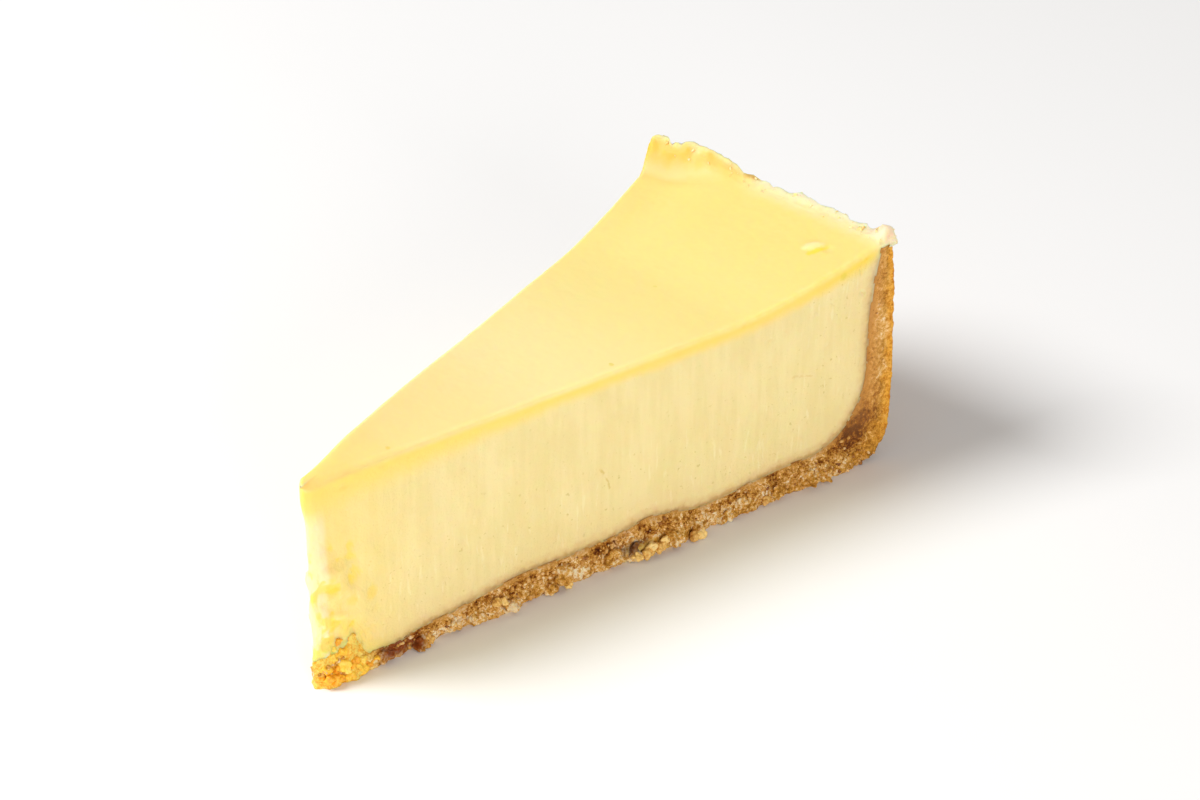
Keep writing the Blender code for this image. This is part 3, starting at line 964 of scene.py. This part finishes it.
def filling_finish():
    material, tree, shader = new_finish("baked filling")
    below = attribute(tree, "below_top")
    satin = calculate(tree, "MULTIPLY_ADD", texture_noise(tree, 3 * MM), 0.24, 0.36)
    link_surface(tree, shader, filling_colours(tree, below), satin)
    shader.inputs["IOR"].default_value = 1.42
    shader.inputs["Subsurface Weight"].default_value = 1.0
    let_light_in(shader, (1.0, 0.62, 0.28), FILLING_LIGHT_DEPTH)
    streaks = texture_noise(tree, 0.9 * MM, stretch=(1, 1, 0.3))
    grain = texture_noise(tree, 0.5 * MM, detail=4.0)
    on_cut = times(tree, attribute(tree, "at_cut"), ease(tree, below, 0.2 * MM, 2 * MM))
    marks = times(tree, calculate(tree, "ADD", streaks, grain), on_cut)
    height = calculate(tree, "MULTIPLY_ADD", texture_noise(tree, 4 * MM, detail=2.0), 1.4, marks)
    add_grain(tree, shader, height, 0.5, 0.22 * MM)
    return material


filling_material = filling_finish()
print("finish:", filling_material.name, "with", len(filling_material.node_tree.nodes), "nodes")

# %% [markdown]
# ## The finish of the crust
#
# Butter makes the crumbs brown and a little shiny. A sandy noise of a few tenths of a millimetre
# picks each grain's brown, from nearly black to pale tan: the blackest end is painted shade in the
# pits, the palest painted glints. Raised grains are painted lighter than the gaps between them, as
# painted light and shade. Next to the filling the crust drank some of its moisture, so it is smooth
# and darker there. The side that lay against the tin is an even caramel, and the tip is golden.

# %% Browns of the torn crust
# From painted shade in the darkest pits, through the grains' own browns, to painted glints.
GRAIN_BROWNS_AND_PAINTED_LIGHT = (
    (0.0, (78, 28, 0)), (0.22, (138, 76, 10)), (0.48, (194, 134, 50)), (0.74, (230, 178, 96)),
    (1.0, (255, 238, 200)))
MEAN_BROWN = 0.42


def off_middle(tree, pattern):
    """A noise, which lies round a half, as an amount round zero."""
    return calculate(tree, "SUBTRACT", pattern, 0.5)


def brown_value(tree, sand, patch, depth, on_wall):
    """Where each grain lies between the darkest brown and the palest."""
    value = calculate(tree, "MULTIPLY_ADD", off_middle(tree, sand), 3.0, 0.7)
    # Painted light and shade: raised grains are lighter, the gaps between them darker.
    value = calculate(tree, "MULTIPLY_ADD", attribute(tree, "raised"), 0.22, value)
    value = calculate(tree, "MULTIPLY_ADD", off_middle(tree, patch), 1.7, value)
    off_wall = calculate(tree, "SUBTRACT", 1.0, on_wall)
    dark_middle = times(tree, ease(tree, depth, 0.4, 0.68), ease(tree, depth, 0.97, 0.76), off_wall)
    value = calculate(tree, "MULTIPLY_ADD", dark_middle, -0.24, value)
    bend = times(tree, ease(tree, on_wall, 0.0, 0.3), ease(tree, on_wall, 1.0, 0.7))
    return calculate(tree, "MULTIPLY_ADD", bend, -0.4, value)


def cut_browns(tree, sand, inward, on_wall):
    """The torn cut, from its golden foot through a dark middle to the smooth tan next to the filling."""
    patch = texture_noise(tree, 4 * MM, detail=3.0)
    depth = calculate(tree, "MULTIPLY_ADD", off_middle(tree, patch), 0.5, inward)
    value = brown_value(tree, sand, patch, depth, on_wall)
    smoother = times(tree, ease(tree, depth, 0.74, 0.97), 0.4)
    smoother = calculate(tree, "MULTIPLY_ADD", on_wall, 0.42, smoother)
    smoother = calculate(tree, "MINIMUM", smoother, 0.78)
    to_mean = calculate(tree, "SUBTRACT", MEAN_BROWN, value)
    colour = colour_ramp(tree, calculate(tree, "MULTIPLY_ADD", to_mean, smoother, value), GRAIN_BROWNS_AND_PAINTED_LIGHT)
    colour = tint(tree, colour, ease(tree, depth, 0.5, 0.15), (226, 168, 64), 0.25)
    return tint(tree, colour, ease(tree, depth, 0.8, 1.02), (190, 136, 72), 0.6)


# %% Marks on the torn crust
FLOURY = (
    (61.0, -15.0, 5.0, 1.7), (63.4, -15.5, 5.4, 1.5), (84.1, -20.2, 5.9, 1.6), (87.4, -20.9, 5.7, 1.5),
    (93.6, -22.3, 2.8, 1.8), (35.6, -9.2, 5.4, 1.6))
DARK_FOOT = ((14.2, -4.3, 2.3), (19.6, -5.4, 1.6))
HOLLOW_SHADE_LINE = ((62.8, -15.4, 2.8), (66.4, -16.2, 3.0))


def crust_marks(tree, colour, sand):
    """Floury grains in a few places, a dark streak at the foot near the tip, and the painted shade of a
    hollow.
    """
    position = shaken_position(tree, 1.4 * MM, 1.6 * MM)
    grains = ease(tree, sand, 0.44, 0.58)
    for *flour_place, size in FLOURY:
        flour = times(tree, spot(tree, position, flour_place, size * MM), grains)
        colour = tint(tree, colour, flour, (255, 234, 200), 0.8)
    foot = line_mark(tree, position, *DARK_FOOT, 2.8 * MM)
    colour = tint(tree, colour, foot, (128, 46, 6), 0.9)
    # Painted shade of a hollow low on the near cut.
    hollow = line_mark(tree, position, *HOLLOW_SHADE_LINE, 2.0 * MM)
    return tint(tree, colour, hollow, (96, 38, 8), 0.85)


# %% Crust finish
CARAMELS = (screen(198, 118, 18), screen(238, 176, 62))
TIP_GOLDS = (screen(246, 170, 36), screen(255, 224, 110))
CRUST_LIGHT_DEPTH = 0.3 * MM


def wall_colours(tree, colour, sand, inward, on_wall, tin):
    """Pinker where the wall met the filling, even caramel where it met the tin, and a few dark specks."""
    pink = times(tree, ease(tree, inward, 0.3, 0.8), on_wall)
    colour = tint(tree, colour, pink, (220, 154, 84), 0.4)
    caramel = mix_colours(tree, ease(tree, sand, 0.36, 0.62), *CARAMELS)
    colour = mix_colours(tree, times(tree, tin, 0.85), colour, caramel)
    specks = ease(tree, texture_noise(tree, 0.9 * MM, detail=2.0), 0.63, 0.7)
    return tint(tree, colour, times(tree, specks, on_wall), (150, 78, 14), 0.6)


def crust_finish():
    material, tree, shader = new_finish("pressed crumbs")
    sand = texture_noise(tree, 0.75 * MM, detail=4.0, roughness=0.8)
    inward, on_wall = attribute(tree, "inward"), attribute(tree, "on_wall")
    golden = attribute(tree, "golden")
    uneven = calculate(tree, "MULTIPLY_ADD", texture_noise(tree, 2.2 * MM), 0.5, inward)
    tin = times(tree, ease(tree, uneven, 0.72, 0.34), on_wall)
    colour = crust_marks(tree, cut_browns(tree, sand, inward, on_wall), sand)
    colour = wall_colours(tree, colour, sand, inward, on_wall, tin)
    gold = mix_colours(tree, ease(tree, sand, 0.36, 0.58), *TIP_GOLDS)
    colour = mix_colours(tree, times(tree, golden, 0.95), colour, gold)
    rough = calculate(tree, "MULTIPLY_ADD", texture_noise(tree, 0.8 * MM), 0.6, 0.25)
    link_surface(tree, shader, colour, rough)
    shader.inputs["Specular IOR Level"].default_value = 0.12
    soft = calculate(tree, "MULTIPLY_ADD", golden, -0.2, 0.35)
    tree.links.new(soft, shader.inputs["Subsurface Weight"])
    let_light_in(shader, (1.0, 0.8, 0.5), CRUST_LIGHT_DEPTH)
    rise = times(tree, sand, calculate(tree, "MULTIPLY_ADD", tin, -0.6, 1.0))
    add_grain(tree, shader, rise, 0.9, 0.4 * MM)
    return material


crust_material = crust_finish()
print("finish:", crust_material.name, "with", len(crust_material.node_tree.nodes), "nodes")

# %% [markdown]
# ## The finish of crumbs and curds
#
# A loose crumb has one colour, picked by the random number that it got when it was scattered, and a
# fine noise breaks it up. The same recipe with other colours makes the golden crumbs, and the pale
# curds that fray from the rim.

# %% Crumb finishes
CRUMB_LIGHT_DEPTH = 0.2 * MM
LOOSE_BROWNS = ((112, 54, 6), (168, 106, 30), (208, 150, 66), (232, 182, 104), (255, 240, 210))
GOLDS = ((240, 148, 30), (252, 190, 44), (255, 214, 78), (255, 232, 136))
# The amber of the foot crumbs is partly their own colour and partly painted light shining through them.
AMBERS = ((206, 146, 62), (240, 196, 108), (255, 222, 148), (255, 240, 200))
CURDS = ((236, 200, 116), (252, 226, 152), (255, 238, 190))


def crumb_finish(name, colours):
    material, tree, shader = new_finish(name)
    grain = texture_noise(tree, 0.5 * MM, roughness=0.7)
    broken = calculate(tree, "MULTIPLY_ADD", grain, 0.9, -0.27)
    shade = calculate(tree, "MULTIPLY_ADD", attribute(tree, "shade"), 0.62, broken)
    last = len(colours) - 1
    stops = [(0.05 + 0.9 * number / last, colour) for number, colour in enumerate(colours)]
    rough = calculate(tree, "MULTIPLY_ADD", grain, 0.5, 0.2)
    link_surface(tree, shader, colour_ramp(tree, shade, stops), rough)
    shader.inputs["Subsurface Weight"].default_value = 0.3
    let_light_in(shader, (1.0, 1.0, 0.8), CRUMB_LIGHT_DEPTH)
    add_grain(tree, shader, grain, 0.6, 0.2 * MM)
    return material


loose_material = crumb_finish("loose crumbs", LOOSE_BROWNS)
gold_material = crumb_finish("golden crumbs", GOLDS)
amber_material = crumb_finish("amber crumbs", AMBERS)
curd_material = crumb_finish("rim curds", CURDS)
for material in (loose_material, gold_material, amber_material, curd_material):
    print("finish:", material.name)

# %% [markdown]
# ## Grains in the crust
#
# Biscuit crumbs come in all sizes, so one pattern looks fake. Three cell patterns are laid over each
# other: the coarse one has cells of a millimetre and a half, the next of half that, and the finest is
# sand. The amount goes along the push, which is strong on the cuts and faint on the tin side.

# %% Roughen the crust
GRAIN_SIZES = {
    "Grain size": 1.4 * MM, "Grain depth": 0.3 * MM, "Fine size": 0.7 * MM, "Fine depth": 0.26 * MM,
    "Sand size": 0.42 * MM, "Sand depth": 0.12 * MM}
FULL_RAISE = 0.5 * MM


def keep_number(tree, geometry, name, value):
    """Stores a number on every point, for the finish to read."""
    return add(tree, "GeometryNodeStoreNamedAttribute", {"data_type": "FLOAT"},
               Geometry=geometry, Name=name, Value=value).outputs[0]


def grain_tree():
    tree, start, end = new_tree("crust grains", GRAIN_SIZES)
    position = add(tree, "GeometryNodeInputPosition").outputs[0]
    total = 0.0
    for grain in ("Grain", "Fine", "Sand"):
        scale = calculate(tree, "DIVIDE", 1.0, start.outputs[grain + " size"])
        cells = add(tree, "ShaderNodeTexVoronoi", Vector=position, Scale=scale).outputs["Distance"]
        bump = calculate(tree, "MULTIPLY_ADD", cells, -1.8, 0.9)
        total = calculate(tree, "MULTIPLY_ADD", bump, start.outputs[grain + " depth"], total)
    raised = calculate(tree, "DIVIDE", total, FULL_RAISE)
    kept = keep_number(tree, start.outputs["Geometry"], "raised", raised)
    move = scale_vector(tree, fact(tree, "push", "FLOAT_VECTOR"), total)
    moved = add(tree, "GeometryNodeSetPosition", Geometry=kept, Offset=move)
    return close_tree(tree, end, moved.outputs[0], crust_material)


run_tree(crust, grain_tree(), GRAIN_SIZES)
raised = np.empty(len(crust.data.vertices), dtype=np.float32)
crust.data.attributes["raised"].data.foreach_get("value", raised)
print("crust grains: raised from", raised.min().round(2), "to", raised.max().round(2))

# %% [markdown]
# ## Marks of the knife
#
# A knife that goes down through cold filling drags it: the cut shows faint upright streaks, a few
# long shallow waves, and small pores where air was. Near the tip the filling tears instead. The
# streaks are a noise that is stretched upright, and the pores are the deepest spots of a fine one.

# %% Drag the knife through the filling
KNIFE_SIZES = {
    "Streak width": 1.3 * MM, "Streak depth": 0.07 * MM, "Wave size": 14 * MM, "Wave depth": 0.4 * MM,
    "Pore size": 1.5 * MM, "Pore depth": 2.2 * MM, "Tear size": 3.0 * MM, "Tear depth": 2.6 * MM,
    "Lip size": 1.8 * MM, "Lip depth": 1.0 * MM}
PORE_THRESHOLD = 0.13


def knife_noise(tree, size, stretch=(1.0, 1.0, 1.0), detail=2.0):
    """A noise round zero, with spots of about the size given."""
    position = add(tree, "GeometryNodeInputPosition").outputs[0]
    made = add(tree, "ShaderNodeTexNoise", Vector=vector_maths(tree, "MULTIPLY", position, stretch),
               Scale=calculate(tree, "DIVIDE", 1.0, size), Detail=detail)
    return off_middle(tree, made.outputs[0])


def knife_tree():
    tree, start, end = new_tree("knife marks", KNIFE_SIZES)
    sizes = start.outputs
    streaks = times(tree, knife_noise(tree, sizes["Streak width"], (1.0, 1.0, 0.16)), sizes["Streak depth"])
    waves = times(tree, knife_noise(tree, sizes["Wave size"], (1.0, 1.0, 0.5)), sizes["Wave depth"])
    spots = calculate(tree, "SUBTRACT", knife_noise(tree, sizes["Pore size"]), PORE_THRESHOLD)
    pores = times(tree, calculate(tree, "MAXIMUM", spots, 0.0), sizes["Pore depth"], -1.0)
    tearing = times(tree, knife_noise(tree, sizes["Tear size"], detail=3.0), fact(tree, "torn"))
    tears = times(tree, tearing, sizes["Tear depth"])
    fraying = times(tree, knife_noise(tree, sizes["Lip size"], detail=3.0), fact(tree, "at_lip"))
    ragged = times(tree, fraying, sizes["Lip depth"])
    total = 0.0
    for part in (streaks, waves, pores, tears, ragged):
        total = calculate(tree, "ADD", total, part)
    kept = keep_number(tree, sizes["Geometry"], "hollow", times(tree, tearing, -1.0))
    move = scale_vector(tree, fact(tree, "push", "FLOAT_VECTOR"), total)
    moved = add(tree, "GeometryNodeSetPosition", Geometry=kept, Offset=move)
    return close_tree(tree, end, moved.outputs[0], filling_material)


run_tree(filling, knife_tree(), KNIFE_SIZES)
print("knife marks:", len(filling.data.vertices), "points moved")

# %% [markdown]
# ## Crumbs that stand out of the cut
#
# Along the cuts and round the tip whole crumbs stand out of the crust. They were drawn once, by a
# seeded rule, for the solid. The same rule draws them here, so each fine crumb lies on its coarse one.

# %% Places of the standing crumbs
CUT_CRUMBS = 32
TIP_CRUMBS = 7
CRUMB_RADII = (1.0 * MM, 1.9 * MM)
CRUMB_STRETCH = (0.75, 1.45)
SEED = 23


def crumb_places():
    draw = random.Random(SEED)
    for number in range(CUT_CRUMBS):
        side = -1 if number % 2 else 1
        size = draw.uniform(*CRUMB_RADII)
        stretch = Vector((draw.uniform(*CRUMB_STRETCH), draw.uniform(*CRUMB_STRETCH), 1))
        share = (number // 2 + draw.uniform(0.1, 0.9)) / (CUT_CRUMBS / 2)
        radius = blend(12, 114, share) * MM
        height = size * draw.uniform(0.6, 1.7)
        crags = CRAGS_NEAR if side < 0 else CRAGS_FAR
        centre = place(radius, side, height) + cut_normal(side) * (swell(crags, radius) - 0.1 * size)
        yield centre, size, stretch
    for number in range(TIP_CRUMBS):
        size = draw.uniform(*CRUMB_RADII)
        stretch = Vector((draw.uniform(*CRUMB_STRETCH), draw.uniform(*CRUMB_STRETCH), 1))
        side = draw.uniform(-1, 1)
        height = draw.uniform(0.8, 3.8) * MM
        yield place(draw.uniform(1, 6) * MM, side, height), size, stretch


print("standing crumbs:", len(list(crumb_places())))


# %% Build lumps
LUMP_LEVEL = 4
LUMP_DENT = 0.5
LUMP_GRAIN = 0.7 * MM
LUMP_KNOB = 0.8 * MM
LUMP_SAND = 0.35 * MM
CRUMB_FLOOR = 0.15 * MM
FLOOR_LIFT = 1.1


def lump_point(point, number, size, stretch, grain_depth):
    """Where a point of a round ball goes on an uneven lump. Each lump has its own number, so its own form."""
    dent = noise.noise(point / (0.9 * size) + Vector((number * 3.1, 0, 0)))
    grain = noise.voronoi(point / LUMP_GRAIN + Vector((0, number * 1.7, 0)))[0][0]
    sand = noise.noise(point / LUMP_SAND + Vector((0, 0, number * 2.3)))
    knob = noise.noise(point / LUMP_KNOB + Vector((0, 0, number * 1.3)))
    moved = point * stretch * (1 + LUMP_DENT * (dent + 0.6 * knob))
    return moved, grain_depth * (0.5 - grain + 0.4 * sand)


def lump_piece(name, lumps, grain_depth, material):
    """One piece of many uneven lumps. Each keeps a random shade, and none goes below the table."""
    heap = bmesh.new()
    shade_layer = heap.verts.layers.float.new("shade")
    draw = random.Random(7)
    for number, (centre, size, stretch) in enumerate(lumps):
        shade = draw.random()
        for vertex in bmesh.ops.create_icosphere(heap, subdivisions=LUMP_LEVEL, radius=size)["verts"]:
            moved, rise = lump_point(vertex.co, number, size, stretch, grain_depth)
            vertex.co = centre + moved
            vertex.co += (vertex.co - centre).normalized() * rise
            vertex.co.z += FLOOR_LIFT * max(0.0, CRUMB_FLOOR - vertex.co.z)
            vertex.co += CENTRE
            vertex[shade_layer] = shade
    piece = new_piece(name, heap)
    piece.data.materials.append(material)
    print(name + ":", len(piece.data.polygons), "faces")
    return piece


crumbs_standing = lump_piece("standing_crumbs", crumb_places(), 0.7 * MM, crust_material)

# %% [markdown]
# ## Golden crumbs at the tip and the foot
#
# The knife left the tip in pieces: a small heap of buttery crumbs that baked golden where the rest is
# brown. A few more stick to the foot of the near cut. Each is given by its way along that cut, its
# distance out of it, its height and its radius, all in millimetres.

# %% Golden crumbs
TIP_HEAP = (
    (2.6, 0.4, 3.8, 1.1), (4.3, 0.8, 1.4, 1.3), (5.8, 0.6, 3.4, 1.2), (7.9, 0.5, 2.9, 1.0),
    (4.0, 0.3, 5.2, 1.0), (5.8, 0.2, 6.0, 1.0), (5.6, 0.0, 7.8, 0.8), (9.3, 0.7, 1.3, 1.0),
    (11.3, 0.4, 1.3, 0.8), (12.8, 0.3, 1.7, 0.7), (2.2, -0.3, 1.5, 1.2), (3.1, 0.8, 1.7, 1.1),
    (7.0, 1.0, 1.2, 1.1), (9.8, 0.3, 2.5, 0.7), (4.8, 0.7, 3.4, 0.9), (6.9, 0.2, 4.7, 0.7),
    (4.4, 0.2, 7.0, 0.6), (6.4, 1.0, 2.2, 0.8), (8.6, 0.9, 2.0, 0.7), (3.0, 0.1, 6.4, 0.6))
FOOT_CRUMBS = (
    (66.4, 1.4, 1.4, 0.9), (68.4, 1.8, 1.4, 1.1), (69.6, 1.7, 2.4, 0.8), (71.0, 1.9, 1.7, 1.0),
    (72.3, 1.7, 2.7, 0.7), (74.4, 1.6, 2.3, 0.8), (78.9, 1.9, 0.9, 0.9), (80.2, 1.8, 1.0, 0.9),
    (23.0, 0.9, 1.4, 0.8), (51.5, 1.3, 1.0, 0.8), (96.0, 0.6, 1.2, 0.7), (36.8, 1.0, 3.3, 0.8),
    (38.2, 1.0, 2.7, 0.7))
ALONG_CUT = Vector((math.cos(HALF_ANGLE), -math.sin(HALF_ANGLE), 0))


def near_cut_lumps(rows, seed):
    draw = random.Random(seed)
    for along, out, height, size in rows:
        stretch = Vector((draw.uniform(0.85, 1.25), draw.uniform(0.85, 1.1), draw.uniform(0.8, 1.0)))
        centre = ALONG_CUT * along * MM + cut_normal(-1) * out * MM + Vector((0, 0, height * MM))
        yield centre, size * MM, stretch


crumbs_golden = lump_piece("golden_crumbs", near_cut_lumps(TIP_HEAP, 4), 0.35 * MM, gold_material)
crumbs_foot = lump_piece("foot_crumbs", near_cut_lumps(FOOT_CRUMBS, 6), 0.3 * MM, amber_material)

# %% [markdown]
# ## Small loose crumbs
#
# The knife leaves hundreds of tiny crumbs on the torn crust. Geometry Nodes scatter them: points are
# spread over the faces of the cut, each gets a copy of one uneven lump, turned and sized at random,
# and all of them are realized into one mesh. Each crumb keeps a random number for its colour.

# %% One small lump
def small_lump(name, seed, flat):
    """An uneven lump of about one unit across and few faces, for the nodes to copy."""
    grid = bmesh.new()
    bmesh.ops.create_cube(grid, size=1.0)
    bmesh.ops.subdivide_edges(grid, edges=grid.edges, cuts=1, use_grid_fill=True)
    for vertex in grid.verts:
        direction = vertex.co.normalized()
        vertex.co = direction * 0.5 * (1 + 0.6 * noise.noise(direction * 1.6 + Vector((seed * 5.7, 0, 0))))
        vertex.co.z *= flat
    mesh = bpy.data.meshes.new(name)
    grid.to_mesh(mesh)
    grid.free()
    return bpy.data.objects.new(name, mesh)


# %% Scatter lumps over faces
CHOSEN_ABOVE = 0.55
FULL_TURN = 6.28
SIZE_SKEW = 2.5


def scatter_points(tree, values, seed, chosen, facing):
    """Spreads points over the faces where chosen, a fact, is near 1 and that face upwards enough."""
    normal = add(tree, "GeometryNodeInputNormal").outputs[0]
    upward = add(tree, "ShaderNodeSeparateXYZ", Vector=normal).outputs[2]
    picked = times(tree, calculate(tree, "GREATER_THAN", fact(tree, chosen), CHOSEN_ABOVE),
                   calculate(tree, "GREATER_THAN", upward, facing))
    return add(tree, "GeometryNodeDistributePointsOnFaces", {"distribute_method": "RANDOM"},
               Mesh=values["Geometry"], Density=times(tree, picked, values["Density"]), Seed=seed)


def random_number(tree, seed):
    return add(tree, "FunctionNodeRandomValue", {"data_type": "FLOAT"}, Seed=seed).outputs[1]


def scatter_tree(name, lump, sizes, seed, chosen, facing, material):
    tree, start, end = new_tree(name, sizes)
    values = start.outputs
    points = scatter_points(tree, values, seed, chosen, facing)
    turn = add(tree, "FunctionNodeRandomValue", {"data_type": "FLOAT_VECTOR"},
               _0=(0, 0, 0), _1=(FULL_TURN, FULL_TURN, FULL_TURN), Seed=seed + 1).outputs[0]
    skewed = calculate(tree, "POWER", random_number(tree, seed + 2), SIZE_SKEW)
    reach = calculate(tree, "SUBTRACT", values["Largest"], values["Smallest"])
    size = calculate(tree, "MULTIPLY_ADD", skewed, reach, values["Smallest"])
    source = add(tree, "GeometryNodeObjectInfo")
    source.inputs["Object"].default_value = lump
    copies = add(tree, "GeometryNodeInstanceOnPoints", Points=points.outputs["Points"],
                 Instance=source.outputs["Geometry"], Rotation=turn, Scale=size)
    kept = add(tree, "GeometryNodeStoreNamedAttribute", {"data_type": "FLOAT", "domain": "INSTANCE"},
               Geometry=copies.outputs[0], Name="shade", Value=random_number(tree, seed + 3))
    return close_tree(tree, end, kept.outputs[0], material)


# %% Scattered pieces
LUMP_POINTS = 26
LUMP_FLOOR = 0.02 * MM


def lift_off_table(piece):
    """Lifts each lump that would go below the table, and returns how many lumps there are."""
    points = np.empty(len(piece.data.vertices) * 3, dtype=np.float32)
    piece.data.vertices.foreach_get("co", points)
    lumps = points.reshape(-1, LUMP_POINTS, 3)
    lowest = lumps[:, :, 2].min(axis=1)
    lumps[:, :, 2] += np.maximum(0, LUMP_FLOOR - lowest)[:, None]
    piece.data.vertices.foreach_set("co", lumps.reshape(-1))
    return len(lumps)


def scatter(name, carrier, lump, sizes, seed, chosen, facing, material):
    """A new piece of lumps scattered over the carrier, which stays as it is."""
    piece = bpy.data.objects.new(name, carrier.data.copy())
    bpy.context.scene.collection.objects.link(piece)
    run_tree(piece, scatter_tree(name, lump, sizes, seed, chosen, facing, material), sizes)
    count = lift_off_table(piece)
    piece.data.shade_smooth()
    shades = np.empty(len(piece.data.vertices), dtype=np.float32)
    piece.data.attributes["shade"].data.foreach_get("value", shades)
    print(name + ":", count, "lumps,", len(piece.data.polygons), "faces, shades to", shades.max().round(2))
    return piece


# %% [markdown]
# ## Scatter the crumbs and fray the rim
#
# The small crumbs are scattered over the cut crust, and pale curds over the torn lip, where thin
# dried batter broke in shreds.

# %% Scatter
SMALL_CRUMB_SIZES = {"Density": 900000.0, "Smallest": 0.2 * MM, "Largest": 1.0 * MM}
CURD_SIZES = {"Density": 200000.0, "Smallest": 0.25 * MM, "Largest": 0.9 * MM}
crumbs_small = scatter(
    "small_crumbs", crust, small_lump("small_lump", 3, 0.8), SMALL_CRUMB_SIZES, 5, "crumbly", -0.5,
    loose_material)
curds = scatter(
    "rim_curds", filling, small_lump("thin_lump", 5, 0.5), CURD_SIZES, 9, "at_lip", 0.1, curd_material)

# %% [markdown]
# ## The table, the light and the camera
#
# The slice is pictured on bare white in a bright room: a large soft light high on the left, and so
# much light from all round that the shadow is pale. A wide lamp gives the first, and a pale world
# and a weaker lamp in front the second. The camera looks down at thirty degrees, with a long lens
# from half a metre away.

# %% The white table
def make_floor():
    bpy.ops.mesh.primitive_plane_add(size=8, location=(0, 0, 0))
    floor = bpy.context.object
    floor.name = "white_table"
    material, _, shader = new_finish("white table")
    shader.inputs["Base Color"].default_value = (0.93, 0.93, 0.93, 1)
    shader.inputs["Roughness"].default_value = 0.6
    shader.inputs["Specular IOR Level"].default_value = 0.2
    floor.data.materials.append(material)


make_floor()
print("table: white_table")


# %% Lights
def make_world(strength, colour):
    world = bpy.data.worlds.new("bright room")
    world.use_nodes = True
    background = world.node_tree.nodes["Background"]
    background.inputs["Color"].default_value = (*colour, 1)
    background.inputs["Strength"].default_value = strength
    bpy.context.scene.world = world


def make_lamp(name, towards, distance, size, power):
    """A round soft light that shines at the slice from the direction given."""
    lamp = bpy.data.lights.new(name, "AREA")
    lamp.shape = "DISK"
    lamp.size = size
    lamp.energy = power
    holder = bpy.data.objects.new(name, lamp)
    direction = Vector(towards).normalized()
    holder.location = direction * distance
    holder.rotation_euler = direction.to_track_quat("Z", "Y").to_euler()
    bpy.context.scene.collection.objects.link(holder)
    print(name + ":", power, "watts from", distance, "metres")


make_world(strength=0.35, colour=(1.0, 0.965, 0.925))
make_lamp("key light", towards=(-0.513, 0.447, 0.733), distance=1.4, size=0.68, power=19.2)
make_lamp("front fill", towards=(-0.45, -0.85, 0.25), distance=1.6, size=0.75, power=12.2)
bpy.context.scene.view_settings.view_transform = "Standard"

# %% Camera
CAMERA_FROM_TIP = Vector((-297.2, -314.8, 307.9)) * MM
CAMERA_DOWN = 30.383
CAMERA_TURN = -49.648
PHOTO_WIDTH = 1200
FOCAL_PIXELS = 3200
SENSOR = 36


def make_camera():
    camera = bpy.data.cameras.new("camera")
    camera.sensor_width = SENSOR
    camera.lens = FOCAL_PIXELS / PHOTO_WIDTH * SENSOR
    camera.clip_start = 0.01
    holder = bpy.data.objects.new("camera", camera)
    holder.location = CENTRE + CAMERA_FROM_TIP
    holder.rotation_euler = (math.radians(90 - CAMERA_DOWN), 0, math.radians(CAMERA_TURN))
    bpy.context.scene.collection.objects.link(holder)
    bpy.context.scene.camera = holder


make_camera()
print("lens:", round(FOCAL_PIXELS / PHOTO_WIDTH * SENSOR, 1), "mm")

# %% [markdown]
# ## Join the pieces to the slice
#
# Each piece rides on the slice's one body, and the solids of the frame are hidden.

# %% Hand over
CRUST_PIECES = (crust, crumbs_standing, crumbs_golden, crumbs_foot, crumbs_small)
FILLING_PIECES = (filling, curds)
for pieces, slot in ((CRUST_PIECES, "crumb_crust"), (FILLING_PIECES, "cheese_filling")):
    for piece in pieces:
        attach(piece, "root")
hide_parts("crumb_crust")
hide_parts("cheese_filling")
